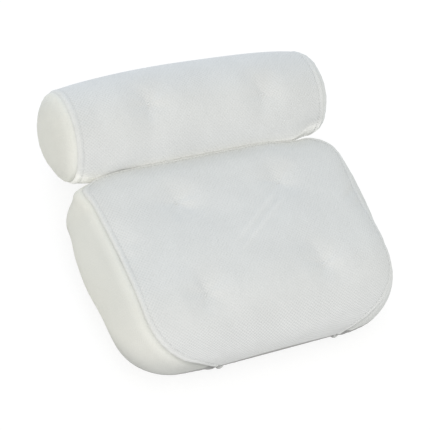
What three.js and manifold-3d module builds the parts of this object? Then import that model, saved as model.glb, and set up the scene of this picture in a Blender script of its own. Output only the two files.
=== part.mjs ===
import * as THREE from 'three';
import { mergeVertices } from 'three/addons/utils/BufferGeometryUtils.js';
import Module from 'manifold-3d';

const wasm = await Module();
wasm.setup();

// A bath pillow: a thick crowned pad and a neck roll, both of white air mesh sewn over foam, joined by
// a cloth hinge strip and standing on six suction cups. Millimetres, +Z up, +X to the right and +Y from
// the pad towards the roll. The origin is under the middle of the pillow, on the surface it stands on.

// Cloth and clearances
const COVER_THICKNESS = 3;
const SEWN_GAP = 0.3;
const FOAM_GAP = 0.6;

// Pad outline, seen from above
const PAD_BACK_WIDTH = 310;
const PAD_FRONT_WIDTH = 302;
const PAD_DEPTH = 217;
const PAD_BACK_CORNER = 32;
const PAD_FRONT_CORNER_WIDTH = 80;
const PAD_FRONT_CORNER_DEPTH = 58;
const FRONT_CORNER_POWER = 2.4;
const SIDE_DRAW_IN = 2;

// Pad heights, measured from its underside
const GUSSET_HEIGHT = 62;
const PAD_CROWN = 16;
const TAB_HEIGHT = 6;
const NOSE_REACH = 117;
const NOSE_CORNER_SHARE = 0.35;
const NOSE_POWER = 0.8;
const FRONT_ROUNDING = 75;
const BACK_ROUNDING = 40;
const SIDE_FULLNESS = 4;

// How far the boxing stands out past the top seam
const SIDE_BULGE = 9;
const SIDE_FLARE = 10;
const BACK_BULGE = 2.5;
const BACK_FLARE = 2;
const FRONT_BULGE = 6;
const FRONT_FLARE = 7;

// Roll
const ROLL_LENGTH = 308;
const ROLL_RADIUS = 58;
const ROLL_END_RADIUS = 50;
const ROLL_BARREL_POWER = 4;
const ROLL_FLAT = 4;
const ROLL_CAP_DOME = 15;
const ROLL_CAP_DOME_POWER = 4;
const ROLL_CAP_RECESS = 1;
const ROLL_CAP_CLEARANCE = 0.6;
const ROLL_TO_PAD = 5;

// Sewn tufts: the pad's are measured from its edges, the roll's from its ends and round its axis
const TUFT_DEPTH = 10;
const TUFT_REACH = 34;
const BACK_TUFT_INSET = 55;
const FRONT_TUFT_INSET = 48;
const BACK_LEFT_TUFT_INSET = 89;
const BACK_RIGHT_TUFT_INSET = 97;
const FRONT_LEFT_TUFT_INSET = 71;
const FRONT_RIGHT_TUFT_INSET = 91;
const ROLL_TUFT_INSET = 83;
const ROLL_LEFT_TUFT_TURN = THREE.MathUtils.degToRad(104);
const ROLL_RIGHT_TUFT_TURN = THREE.MathUtils.degToRad(114);
const TIE_RADIUS = 1.2;
const TIE_KNOT_RADIUS = 2.2;
const TIE_KNOT_HEIGHT = 1.5;
const PAD_TUFTS = [
  { name: 'back_left', x: BACK_LEFT_TUFT_INSET - PAD_BACK_WIDTH / 2, y: -BACK_TUFT_INSET },
  { name: 'back_right', x: PAD_BACK_WIDTH / 2 - BACK_RIGHT_TUFT_INSET, y: -BACK_TUFT_INSET },
  { name: 'front_left', x: FRONT_LEFT_TUFT_INSET - PAD_FRONT_WIDTH / 2, y: FRONT_TUFT_INSET - PAD_DEPTH },
  { name: 'front_right', x: PAD_FRONT_WIDTH / 2 - FRONT_RIGHT_TUFT_INSET, y: FRONT_TUFT_INSET - PAD_DEPTH },
];
const ROLL_TUFTS = [
  { name: 'left', x: ROLL_TUFT_INSET - ROLL_LENGTH / 2, angle: ROLL_LEFT_TUFT_TURN },
  { name: 'right', x: ROLL_LENGTH / 2 - ROLL_TUFT_INSET, angle: ROLL_RIGHT_TUFT_TURN },
];

// Suction cups, with a stem and a button head that is pushed through the cloth
const CUP_LIP_RADIUS = 24;
const CUP_LIP_WIDTH = 1.6;
const CUP_HEIGHT = 13;
const CUP_HOLLOW = 9;
const CUP_SHOULDER_RADIUS = 9;
const CUP_NECK_RADIUS = 4.5;
const CUP_HEAD_RADIUS = 8;
const CUP_HEAD_HEIGHT = 4.5;
const CUP_HEAD_SHOULDER_RADIUS = 7.2;
const CUP_HEAD_SHOULDER_HEIGHT = 2.7;
const CUP_HEAD_TOP_RADIUS = 4;
const NECK_CLEARANCE = 0.5;
const HEAD_POCKET_CLEARANCE = 1;
const PATCH_RADIUS = 20;
const PATCH_THICKNESS = 1.2;
const PAD_CUP_SIDE_INSET = 56;
const PAD_CUP_BACK_INSET = 48;
const PAD_CUP_FRONT_INSET = 52;
const ROLL_CUP_INSET = 59;

// Hinge strip
const STRIP_LENGTH = 236;
const STRIP_THICKNESS = 1.2;
const STRIP_TAB_TOP = 18;
const STRIP_TAB_BOTTOM = 9;
const STRIP_SAG = 2;
const STRIP_ROLL_TOP = THREE.MathUtils.degToRad(38);
const STRIP_ROLL_BOTTOM = THREE.MathUtils.degToRad(54);

// How finely the curves are cut into facets
const BACK_CORNER_STEPS = 4;
const SIDE_STEPS = 8;
const FRONT_CORNER_ANGLES = [20, 40, 56, 69, 80, 90];
const PAD_COLUMNS = 22;
const WALL_STEPS = 4;
const BACK_WALL_STEPS = 10;
const ROLL_SIDES = 32;
const ROLL_STATIONS = 16;
const CUP_SIDES = 20;
const HOLE_SIDES = 16;
const TIE_SIDES = 8;
const STRIP_STATIONS = 8;
const STRIP_TAB_STEPS = 2;
const STRIP_SLACK_STEPS = 6;
const STRIP_ROLL_STEPS = 3;
const CAP_RING_SHARES = [1, 0.92, 0.8, 0.6, 0.3, 0];
const FOAM_RING_SHARES = [0.7, 1];
const CUP_HOLLOW_SHARES = [0, 0.3, 0.6, 0.82, 1];
const CUP_BELL_SHARES = [0.25, 0.55, 0.8, 1];
const WELD_TOLERANCE = 1e-4;

// Places that follow from the sizes above
const UP = new THREE.Vector3(0, 0, 1);
const BASE_Z = CUP_HEIGHT + PATCH_THICKNESS + 2 * SEWN_GAP;
const ROLL_AXIS_Y = ROLL_TO_PAD + ROLL_RADIUS;
const ROLL_AXIS_Z = ROLL_RADIUS - ROLL_FLAT;
const CAP_EDGE_RADIUS = ROLL_END_RADIUS - COVER_THICKNESS - ROLL_CAP_CLEARANCE;
const PAD_CUP_X = PAD_FRONT_WIDTH / 2 - PAD_CUP_SIDE_INSET;
const PAD_CUPS = [
  { name: 'back_left', x: -PAD_CUP_X, y: -PAD_CUP_BACK_INSET },
  { name: 'back_right', x: PAD_CUP_X, y: -PAD_CUP_BACK_INSET },
  { name: 'front_left', x: -PAD_CUP_X, y: PAD_CUP_FRONT_INSET - PAD_DEPTH },
  { name: 'front_right', x: PAD_CUP_X, y: PAD_CUP_FRONT_INSET - PAD_DEPTH },
];
const ROLL_CUP_X = ROLL_LENGTH / 2 - ROLL_CUP_INSET;
const ROLL_CUPS = [
  { name: 'roll_left', x: -ROLL_CUP_X, y: 0 },
  { name: 'roll_right', x: ROLL_CUP_X, y: 0 },
];

const airMesh = new THREE.MeshStandardMaterial({ color: 0xf0f1f0, roughness: 0.9, metalness: 0 });
const backing = new THREE.MeshStandardMaterial({ color: 0xe6e7e5, roughness: 0.95, metalness: 0 });
const foam = new THREE.MeshStandardMaterial({ color: 0xf3ecd8, roughness: 1, metalness: 0 });
const webbing = new THREE.MeshStandardMaterial({ color: 0xe9eae8, roughness: 0.85, metalness: 0 });
const thread = new THREE.MeshStandardMaterial({ color: 0xf5f5f2, roughness: 0.7, metalness: 0 });
const clearVinyl = new THREE.MeshStandardMaterial({ color: 0xdde6ea, roughness: 0.15, metalness: 0 });

// Solids from points and faces

function solidGeometry(points, faces) {
  const triangles = [];
  for (const [a, b, c, d] of faces) {
    triangles.push(a, b, c);
    if (d !== undefined) {
      triangles.push(a, c, d);
    }
  }
  const geometry = new THREE.BufferGeometry().setFromPoints(points);
  geometry.setIndex(triangles);
  const merged = mergeVertices(geometry, WELD_TOLERANCE);
  merged.computeVertexNormals();
  return merged;
}

// A sheet with thickness: an outer and an inner grid of points, closed round its edges.
function sheetGeometry(outer, inner, wrapped = false) {
  const rows = outer.length;
  const columns = outer[0].length;
  const points = [...outer.flat(), ...inner.flat()];
  const out = (i, j) => i * columns + (j % columns);
  const within = (i, j) => rows * columns + out(i, j);
  const faces = [];
  const spans = wrapped ? columns : columns - 1;
  const last = rows - 1;
  for (let j = 0; j < spans; j++) {
    for (let i = 0; i < last; i++) {
      faces.push([out(i, j), out(i + 1, j), out(i + 1, j + 1), out(i, j + 1)]);
      faces.push([within(i, j), within(i, j + 1), within(i + 1, j + 1), within(i + 1, j)]);
    }
    faces.push([out(0, j), out(0, j + 1), within(0, j + 1), within(0, j)]);
    faces.push([out(last, j + 1), out(last, j), within(last, j), within(last, j + 1)]);
  }
  if (!wrapped) {
    const end = columns - 1;
    for (let i = 0; i < last; i++) {
      faces.push([out(i + 1, 0), out(i, 0), within(i, 0), within(i + 1, 0)]);
      faces.push([out(i, end), out(i + 1, end), within(i + 1, end), within(i, end)]);
    }
  }
  return solidGeometry(points, faces);
}

// A closed body through a row of rings, with a point at each end.
function loftGeometry(rings, firstPoint, lastPoint) {
  const sides = rings[0].length;
  const points = [...rings.flat(), firstPoint, lastPoint];
  const first = rings.length * sides;
  const at = (i, j) => i * sides + (j % sides);
  const faces = [];
  for (let j = 0; j < sides; j++) {
    for (let i = 0; i < rings.length - 1; i++) {
      faces.push([at(i, j), at(i + 1, j), at(i + 1, j + 1), at(i, j + 1)]);
    }
    faces.push([first, at(0, j), at(0, j + 1)]);
    faces.push([first + 1, at(rings.length - 1, j + 1), at(rings.length - 1, j)]);
  }
  return solidGeometry(points, faces);
}

function toSolid(geometry) {
  const bare = geometry.clone();
  bare.deleteAttribute('normal');
  bare.deleteAttribute('uv');
  const merged = mergeVertices(bare, WELD_TOLERANCE);
  const vertProperties = Float32Array.from(merged.attributes.position.array);
  const triVerts = Uint32Array.from(merged.index.array);
  return new wasm.Manifold(new wasm.Mesh({ numProp: 3, vertProperties, triVerts }));
}

function cut(geometry, cutters) {
  let solid = toSolid(geometry);
  for (const cutter of cutters) {
    solid = solid.subtract(toSolid(cutter));
  }
  const mesh = solid.getMesh();
  const result = new THREE.BufferGeometry();
  result.setAttribute('position', new THREE.BufferAttribute(mesh.vertProperties, 3));
  result.setIndex(new THREE.BufferAttribute(mesh.triVerts, 1));
  result.computeVertexNormals();
  return result;
}

// A round cutter that stands at (x, y) from one height to another.
function uprightRod(x, y, bottom, top, radius, sides) {
  const rod = new THREE.CylinderGeometry(radius, radius, top - bottom, sides);
  rod.rotateX(Math.PI / 2);
  rod.translate(x, y, (top + bottom) / 2);
  return rod;
}

function addPiece(group, name, geometry, material) {
  const piece = new THREE.Mesh(geometry, material);
  piece.name = name;
  group.add(piece);
  return piece;
}

// A quarter circle's height, from 0 at its edge to 1 at its crest.
function quarterRound(share) {
  const across = 1 - THREE.MathUtils.clamp(share, 0, 1);
  return Math.sqrt(1 - across * across);
}

function tuftDip(distance) {
  const share = Math.min(distance / TUFT_REACH, 1);
  return TUFT_DEPTH * (1 - share * share) ** 2;
}

// Pad surfaces. A station is one place along the side seam, from the back edge to the front tab.

function padStations(inset) {
  const stations = [];
  const back = -inset;
  const front = inset - PAD_DEPTH;
  const backCorner = PAD_BACK_CORNER - inset;
  const cornerWidth = PAD_FRONT_CORNER_WIDTH - inset;
  const cornerDepth = PAD_FRONT_CORNER_DEPTH - inset;
  const side = (y) => THREE.MathUtils.lerp(PAD_BACK_WIDTH, PAD_FRONT_WIDTH, -y / PAD_DEPTH) / 2 - inset;
  for (let k = 0; k <= BACK_CORNER_STEPS; k++) {
    const angle = (k / BACK_CORNER_STEPS) * (Math.PI / 2);
    const y = back - backCorner * (1 - Math.cos(angle));
    stations.push({ y, half: side(y) - backCorner * (1 - Math.sin(angle)) });
  }
  for (let k = 1; k <= SIDE_STEPS; k++) {
    const share = k / SIDE_STEPS;
    const y = THREE.MathUtils.lerp(back - backCorner, front + cornerDepth, share);
    stations.push({ y, half: side(y) - SIDE_DRAW_IN * Math.sin(Math.PI * share) ** 2 });
  }
  for (const degrees of FRONT_CORNER_ANGLES) {
    const angle = THREE.MathUtils.degToRad(degrees);
    const y = front + cornerDepth * (1 - Math.sin(angle) ** (2 / FRONT_CORNER_POWER));
    const narrowing = 1 - Math.max(Math.cos(angle), 0) ** (2 / FRONT_CORNER_POWER);
    stations.push({ y, half: side(y) - cornerWidth * narrowing });
  }
  return stations;
}

const outerStations = padStations(0);
const tabHalf = outerStations.at(-1).half;

// Height of the seam between the top panel and the gusset, which falls round the front corner to the tab.
const seamHeights = outerStations.map((station) => {
  const roundCorner = THREE.MathUtils.clamp((station.half - tabHalf) / PAD_FRONT_CORNER_WIDTH, 0, 1);
  const backFromFront = (station.y + PAD_DEPTH) / NOSE_REACH;
  const rise = Math.min(backFromFront + NOSE_CORNER_SHARE * roundCorner, 1);
  return TAB_HEIGHT + (GUSSET_HEIGHT - TAB_HEIGHT) * Math.sin(rise * (Math.PI / 2)) ** NOSE_POWER;
});

// Outward directions of the seam outline on the right-hand side.
const seamNormals = outerStations.map((station, i) => {
  const before = outerStations[Math.max(i - 1, 0)];
  const after = outerStations[Math.min(i + 1, outerStations.length - 1)];
  return new THREE.Vector2(before.y - after.y, after.half - before.half).normalize();
});
seamNormals[0].set(0, 1);
seamNormals[seamNormals.length - 1].set(0, -1);

function padTop(u, half, y, seam, inset) {
  const crest = GUSSET_HEIGHT + PAD_CROWN - inset;
  const overNose = crest * quarterRound((y + PAD_DEPTH - inset) / FRONT_ROUNDING);
  const overBack = GUSSET_HEIGHT + (crest - GUSSET_HEIGHT) * quarterRound((-y - inset) / BACK_ROUNDING);
  const middle = Math.min(overNose, overBack);
  const x = u * half;
  let z = seam + (middle - seam) * Math.sqrt(1 - Math.abs(u) ** SIDE_FULLNESS);
  for (const tuft of PAD_TUFTS) {
    z -= tuftDip(Math.hypot(x - tuft.x, y - tuft.y));
  }
  return new THREE.Vector3(x, y, z);
}

function padTopGrid(inset, stationCount = outerStations.length) {
  const stations = padStations(inset).slice(0, stationCount);
  return stations.map(({ y, half }, i) => {
    const row = [];
    for (let j = 0; j <= PAD_COLUMNS; j++) {
      row.push(padTop((2 * j) / PAD_COLUMNS - 1, half, y, seamHeights[i], inset));
    }
    return row;
  });
}

// Height of the pad's top surface at any place, for pieces that reach up to it.
function padTopAt(x, y, inset) {
  const stations = padStations(inset);
  const next = stations.findIndex((station) => station.y < y);
  const before = stations[next - 1];
  const share = (before.y - y) / (before.y - stations[next].y);
  const half = THREE.MathUtils.lerp(before.half, stations[next].half, share);
  const seam = THREE.MathUtils.lerp(seamHeights[next - 1], seamHeights[next], share);
  return padTop(x / half, half, y, seam, inset).z;
}

// How far the boxing stands out at a share of its height, facing a given way.
function boxingSwell(normal, share, height) {
  const sideways = normal.x * normal.x;
  const lengthways = normal.y * normal.y;
  const bulge = SIDE_BULGE * sideways + (normal.y > 0 ? BACK_BULGE : FRONT_BULGE) * lengthways;
  const flare = SIDE_FLARE * sideways + (normal.y > 0 ? BACK_FLARE : FRONT_FLARE) * lengthways;
  const fade = (height - TAB_HEIGHT) / (GUSSET_HEIGHT - TAB_HEIGHT);
  return (bulge * Math.sin(Math.PI * share) + flare * (1 - share)) * fade;
}

function gussetGeometry(sign) {
  const grid = (inset) => padStations(inset).map(({ y, half }, i) => {
    const column = [];
    const normal = seamNormals[i];
    const top = seamHeights[i] - SEWN_GAP;
    for (let k = 0; k <= WALL_STEPS; k++) {
      const share = k / WALL_STEPS;
      const swell = boxingSwell(normal, share, seamHeights[i]);
      column.push(new THREE.Vector3(sign * (half + normal.x * swell), y + normal.y * swell, share * top));
    }
    return sign < 0 ? column : column.reverse();
  });
  return sheetGeometry(grid(0), grid(COVER_THICKNESS));
}

function backPanelGeometry() {
  const outward = new THREE.Vector2(0, 1);
  const reach = outerStations[0].half - SEWN_GAP;
  const grid = (inset) => {
    const rows = [];
    for (let i = 0; i <= BACK_WALL_STEPS; i++) {
      const x = reach * (1 - (2 * i) / BACK_WALL_STEPS);
      const row = [];
      for (let k = 0; k <= WALL_STEPS; k++) {
        const share = k / WALL_STEPS;
        const y = boxingSwell(outward, share, GUSSET_HEIGHT) - inset;
        row.push(new THREE.Vector3(x, y, share * (GUSSET_HEIGHT - SEWN_GAP)));
      }
      rows.push(row);
    }
    return rows;
  };
  return sheetGeometry(grid(0), grid(COVER_THICKNESS));
}

// Outline of the pad at the foot of its boxing, drawn in by an inset.
function footOutline(inset, stationCount = outerStations.length) {
  const right = padStations(inset).slice(0, stationCount).map(({ y, half }, i) => {
    const swell = boxingSwell(seamNormals[i], 0, seamHeights[i]);
    return new THREE.Vector2(half + seamNormals[i].x * swell, y + seamNormals[i].y * swell);
  });
  const left = right.map((point) => new THREE.Vector2(-point.x, point.y));
  return [...left, ...right.reverse()];
}

function bottomPanelGeometry() {
  const shape = new THREE.Shape(footOutline(COVER_THICKNESS + SEWN_GAP));
  for (const cup of PAD_CUPS) {
    const hole = new THREE.Path();
    hole.absarc(cup.x, cup.y, CUP_NECK_RADIUS + NECK_CLEARANCE, 0, 2 * Math.PI, true);
    shape.holes.push(hole);
  }
  return new THREE.ExtrudeGeometry(shape, {
    depth: COVER_THICKNESS,
    bevelEnabled: false,
    curveSegments: HOLE_SIDES / 2,
  });
}

// The foam fills the cover: the top panel's form drawn in, walls that follow the boxing and a flat foot.
function padFoamGeometry() {
  const inset = COVER_THICKNESS + FOAM_GAP;
  const foot = COVER_THICKNESS + FOAM_GAP;
  const rows = outerStations.length - 1;
  const columns = PAD_COLUMNS + 1;
  const points = padTopGrid(inset, rows).flat();
  const at = (i, j) => i * columns + j;
  const faces = [];
  for (let i = 0; i < rows - 1; i++) {
    for (let j = 0; j < PAD_COLUMNS; j++) {
      faces.push([at(i, j), at(i + 1, j), at(i + 1, j + 1), at(i, j + 1)]);
    }
  }
  const rim = [];
  for (let i = 0; i < rows; i++) {
    const normal = new THREE.Vector2(-seamNormals[i].x, seamNormals[i].y);
    rim.push({ top: at(i, 0), normal, station: i, boxed: true });
  }
  for (let j = 1; j < PAD_COLUMNS; j++) {
    const normal = new THREE.Vector2(0, -1);
    rim.push({ top: at(rows - 1, j), normal, station: rows - 1, boxed: false });
  }
  for (let i = rows - 1; i >= 0; i--) {
    rim.push({ top: at(i, PAD_COLUMNS), normal: seamNormals[i], station: i, boxed: true });
  }
  for (let j = PAD_COLUMNS - 1; j > 0; j--) {
    const normal = new THREE.Vector2(0, 1);
    rim.push({ top: at(0, j), normal, station: 0, boxed: true });
  }
  let above = rim.map((place) => place.top);
  for (let k = WALL_STEPS - 1; k >= 0; k--) {
    const share = k / WALL_STEPS;
    const below = rim.map(({ top, normal, station, boxed }) => {
      const edge = points[top];
      const z = THREE.MathUtils.lerp(foot, edge.z, share);
      const swell = boxed ? boxingSwell(normal, z / seamHeights[station], seamHeights[station]) : 0;
      points.push(new THREE.Vector3(edge.x + normal.x * swell, edge.y + normal.y * swell, z));
      return points.length - 1;
    });
    for (let n = 0; n < rim.length; n++) {
      const next = (n + 1) % rim.length;
      faces.push([above[next], above[n], below[n], below[next]]);
    }
    above = below;
  }
  const outline = above.map((index) => new THREE.Vector2(points[index].x, points[index].y));
  for (const [a, b, c] of THREE.ShapeUtils.triangulateShape(outline, [])) {
    const clockwise = THREE.ShapeUtils.area([outline[a], outline[b], outline[c]]) < 0;
    faces.push(clockwise ? [above[a], above[b], above[c]] : [above[a], above[c], above[b]]);
  }
  const cutters = PAD_TUFTS.map(({ x, y }) => tieChannel(x, y, 0, GUSSET_HEIGHT + PAD_CROWN));
  cutters.push(...PAD_CUPS.map(({ x, y }) => headPocket(x, y, 0)));
  return cut(solidGeometry(points, faces), cutters);
}

function tieChannel(x, y, bottom, top) {
  return uprightRod(x, y, bottom, top, TIE_KNOT_RADIUS + FOAM_GAP, TIE_SIDES);
}

function headPocket(x, y, underside) {
  const top = underside + COVER_THICKNESS + SEWN_GAP + CUP_HEAD_HEIGHT + HEAD_POCKET_CLEARANCE;
  return uprightRod(x, y, underside, top, CUP_HEAD_RADIUS + HEAD_POCKET_CLEARANCE, HOLE_SIDES);
}

// A tuft tie: a stay of thread with a knot at each end.
function tieGeometry(length) {
  const profile = [
    [0, 0],
    [TIE_KNOT_RADIUS, 0],
    [TIE_KNOT_RADIUS, TIE_KNOT_HEIGHT],
    [TIE_RADIUS, 2 * TIE_KNOT_HEIGHT],
    [TIE_RADIUS, length - 2 * TIE_KNOT_HEIGHT],
    [TIE_KNOT_RADIUS, length - TIE_KNOT_HEIGHT],
    [TIE_KNOT_RADIUS, length],
    [0, length],
  ];
  return uprightLathe(profile, TIE_SIDES);
}

function uprightLathe(profile, sides) {
  const lathe = new THREE.LatheGeometry(profile.map(([r, z]) => new THREE.Vector2(r, z)), sides);
  lathe.rotateX(Math.PI / 2);
  return lathe;
}

// Roll surfaces, about the roll's own axis

function rollRadius(x) {
  const share = Math.abs(x) / (ROLL_LENGTH / 2);
  return ROLL_END_RADIUS + (ROLL_RADIUS - ROLL_END_RADIUS) * (1 - share ** ROLL_BARREL_POWER);
}

function rollPoint(x, angle, inset) {
  let radius = rollRadius(x) - inset;
  for (const tuft of ROLL_TUFTS) {
    const round = Math.atan2(Math.sin(angle - tuft.angle), Math.cos(angle - tuft.angle)) * ROLL_RADIUS;
    radius -= tuftDip(Math.hypot(x - tuft.x, round));
  }
  const z = Math.max(radius * Math.sin(angle), inset - ROLL_AXIS_Z);
  return new THREE.Vector3(x, radius * Math.cos(angle), z);
}

function rollRing(pointAt) {
  const ring = [];
  for (let j = 0; j < ROLL_SIDES; j++) {
    ring.push(pointAt((j / ROLL_SIDES) * 2 * Math.PI));
  }
  return ring;
}

function rollRings(inset, halfLength) {
  const rings = [];
  for (let i = 0; i <= ROLL_STATIONS; i++) {
    const station = (ROLL_LENGTH / 2) * (1 - (2 * i) / ROLL_STATIONS);
    const x = THREE.MathUtils.clamp(station, -halfLength, halfLength);
    rings.push(rollRing((angle) => rollPoint(x, angle, inset)));
  }
  return rings;
}

function rollTubeGeometry() {
  const half = ROLL_LENGTH / 2;
  const tube = sheetGeometry(rollRings(0, half), rollRings(COVER_THICKNESS, half), true);
  const holes = ROLL_CUPS.map(({ x, y }) => {
    const top = 2 * COVER_THICKNESS - ROLL_AXIS_Z;
    const bottom = -ROLL_AXIS_Z - COVER_THICKNESS;
    return uprightRod(x, y, bottom, top, CUP_NECK_RADIUS + NECK_CLEARANCE, HOLE_SIDES);
  });
  return cut(tube, holes);
}

// How far a round end panel stands out at a share of its radius.
function capDome(share) {
  return ROLL_CAP_DOME * (1 - share ** ROLL_CAP_DOME_POWER);
}

// A round end panel, domed by the foam behind it.
function rollCapGeometry() {
  const inside = CAP_RING_SHARES.map((share) => [CAP_EDGE_RADIUS * share, capDome(share) - COVER_THICKNESS]);
  const outside = CAP_RING_SHARES.map((share) => [CAP_EDGE_RADIUS * share, capDome(share)]);
  return uprightLathe([...inside.reverse(), ...outside], ROLL_SIDES);
}

function rollFoamGeometry() {
  const inset = COVER_THICKNESS + FOAM_GAP;
  const half = ROLL_LENGTH / 2 - ROLL_CAP_RECESS - COVER_THICKNESS - FOAM_GAP;
  const rings = rollRings(inset, half);
  const end = (sign) => FOAM_RING_SHARES.map((share) => {
    const x = sign * (half + capDome(share));
    const radius = share * (CAP_EDGE_RADIUS - FOAM_GAP);
    return rollRing((angle) => new THREE.Vector3(x, radius * Math.cos(angle), radius * Math.sin(angle)));
  });
  const tip = (sign) => new THREE.Vector3(sign * (half + ROLL_CAP_DOME), 0, 0);
  const body = loftGeometry([...end(1), ...rings, ...end(-1).reverse()], tip(1), tip(-1));
  const cutters = ROLL_TUFTS.map((tuft) => {
    const { foot, direction } = rollTie(tuft);
    const channel = tieChannel(0, 0, -ROLL_RADIUS, 2 * ROLL_RADIUS);
    channel.applyQuaternion(new THREE.Quaternion().setFromUnitVectors(UP, direction));
    return channel.translate(foot.x, foot.y, foot.z);
  });
  cutters.push(...ROLL_CUPS.map(({ x, y }) => headPocket(x, y, -ROLL_AXIS_Z)));
  return cut(body, cutters);
}

// Where a roll tie stands on the flat underside, which way it leans and how long it is.
function rollTie(tuft) {
  const foot = new THREE.Vector3(tuft.x, 0, COVER_THICKNESS + FOAM_GAP - ROLL_AXIS_Z);
  const head = rollPoint(tuft.x, tuft.angle, COVER_THICKNESS + FOAM_GAP);
  const direction = head.clone().sub(foot);
  const length = direction.length();
  return { foot, direction: direction.normalize(), length };
}

// Suction cup: a hollow bell, a neck through the cloth and a button head inside it.
function suctionCupGeometry() {
  const neckTop = BASE_Z + COVER_THICKNESS + SEWN_GAP;
  const headTop = neckTop + CUP_HEAD_HEIGHT;
  const hollowRadius = CUP_LIP_RADIUS - CUP_LIP_WIDTH;
  const profile = [];
  for (const share of CUP_HOLLOW_SHARES) {
    profile.push([hollowRadius * share, CUP_HOLLOW * (1 - share ** 2)]);
  }
  profile.push([CUP_LIP_RADIUS, 0]);
  for (const share of CUP_BELL_SHARES) {
    const radius = THREE.MathUtils.lerp(CUP_LIP_RADIUS, CUP_SHOULDER_RADIUS, share);
    profile.push([radius, CUP_HEIGHT * Math.sin(share * (Math.PI / 2))]);
  }
  profile.push([CUP_NECK_RADIUS, CUP_HEIGHT]);
  profile.push([CUP_NECK_RADIUS, neckTop]);
  profile.push([CUP_HEAD_RADIUS, neckTop]);
  profile.push([CUP_HEAD_SHOULDER_RADIUS, neckTop + CUP_HEAD_SHOULDER_HEIGHT]);
  profile.push([CUP_HEAD_TOP_RADIUS, headTop]);
  profile.push([0, headTop]);
  return uprightLathe(profile, CUP_SIDES);
}

// Round webbing patch that backs the cloth where a cup's neck goes through.
function patchGeometry() {
  const hole = CUP_NECK_RADIUS + NECK_CLEARANCE;
  const profile = [
    [hole, 0],
    [PATCH_RADIUS, 0],
    [PATCH_RADIUS, PATCH_THICKNESS],
    [hole, PATCH_THICKNESS],
    [hole, 0],
  ];
  return uprightLathe(profile, HOLE_SIDES);
}

// Hinge strip: sewn flat to the foot of the pad's back, slack across the gap, sewn to the roll's lower side.
function hingeStripGeometry() {
  const outward = new THREE.Vector2(0, 1);
  const path = (x) => {
    const points = [];
    for (let k = 0; k <= STRIP_TAB_STEPS; k++) {
      const z = THREE.MathUtils.lerp(STRIP_TAB_TOP, STRIP_TAB_BOTTOM, k / STRIP_TAB_STEPS);
      const wall = boxingSwell(outward, z / GUSSET_HEIGHT, GUSSET_HEIGHT);
      points.push(new THREE.Vector2(wall + SEWN_GAP, z));
    }
    const seat = rollRadius(x) + SEWN_GAP;
    const onRoll = (angle) => new THREE.Vector2(
      ROLL_AXIS_Y - seat * Math.cos(angle),
      ROLL_AXIS_Z - seat * Math.sin(angle),
    );
    const from = points.at(-1);
    const to = onRoll(STRIP_ROLL_BOTTOM);
    const leave = new THREE.Vector2(from.x, STRIP_SAG);
    const arrive = new THREE.Vector2(to.x, STRIP_SAG);
    const slack = new THREE.CubicBezierCurve(from, leave, arrive, to).getPoints(STRIP_SLACK_STEPS);
    points.push(...slack.slice(1));
    for (let k = 1; k <= STRIP_ROLL_STEPS; k++) {
      points.push(onRoll(THREE.MathUtils.lerp(STRIP_ROLL_BOTTOM, STRIP_ROLL_TOP, k / STRIP_ROLL_STEPS)));
    }
    return points;
  };
  const seatSide = [];
  const freeSide = [];
  for (let i = 0; i <= STRIP_STATIONS; i++) {
    const x = THREE.MathUtils.lerp(-STRIP_LENGTH / 2, STRIP_LENGTH / 2, i / STRIP_STATIONS);
    const points = path(x);
    seatSide.push(points.map((point) => new THREE.Vector3(x, point.x, point.y)));
    freeSide.push(points.map((point, k) => {
      const before = points[Math.max(k - 1, 0)];
      const after = points[Math.min(k + 1, points.length - 1)];
      const along = after.clone().sub(before).normalize();
      const away = new THREE.Vector2(-along.y, along.x).multiplyScalar(STRIP_THICKNESS);
      return new THREE.Vector3(x, point.x + away.x, point.y + away.y);
    }));
  }
  return sheetGeometry(freeSide, seatSide);
}

// The assembly

function buildPad() {
  const pad = new THREE.Group();
  const topPanel = sheetGeometry(padTopGrid(0), padTopGrid(COVER_THICKNESS));
  addPiece(pad, 'pad_top_panel', topPanel, airMesh);
  addPiece(pad, 'pad_gusset_left', gussetGeometry(-1), airMesh);
  addPiece(pad, 'pad_gusset_right', gussetGeometry(1), airMesh);
  addPiece(pad, 'pad_back_panel', backPanelGeometry(), airMesh);
  addPiece(pad, 'pad_bottom_panel', bottomPanelGeometry(), backing);
  addPiece(pad, 'pad_foam_core', padFoamGeometry(), foam);
  for (const { name, x, y } of PAD_TUFTS) {
    const foot = COVER_THICKNESS + SEWN_GAP;
    const head = padTopAt(x, y, COVER_THICKNESS) - FOAM_GAP;
    const tie = addPiece(pad, `pad_tie_${name}`, tieGeometry(head - foot), thread);
    tie.position.set(x, y, foot);
  }
  for (const { name, x, y } of PAD_CUPS) {
    addPatch(pad, name, x, y, 0);
  }
  addPiece(pad, 'hinge_strip', hingeStripGeometry(), webbing);
  return pad;
}

function buildRoll() {
  const roll = new THREE.Group();
  roll.position.set(0, ROLL_AXIS_Y, ROLL_AXIS_Z);
  addPiece(roll, 'roll_tube', rollTubeGeometry(), airMesh);
  for (const [side, sign] of [['left', -1], ['right', 1]]) {
    const cap = addPiece(roll, `roll_cap_${side}`, rollCapGeometry(), airMesh);
    cap.rotation.y = sign * (Math.PI / 2);
    cap.position.x = sign * (ROLL_LENGTH / 2 - ROLL_CAP_RECESS);
  }
  addPiece(roll, 'roll_foam_core', rollFoamGeometry(), foam);
  for (const tuft of ROLL_TUFTS) {
    const { foot, direction, length } = rollTie(tuft);
    const tie = addPiece(roll, `roll_tie_${tuft.name}`, tieGeometry(length), thread);
    tie.position.copy(foot);
    tie.quaternion.setFromUnitVectors(UP, direction);
  }
  for (const { name, x, y } of ROLL_CUPS) {
    addPatch(roll, name, x, y, -ROLL_AXIS_Z);
  }
  return roll;
}

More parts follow.
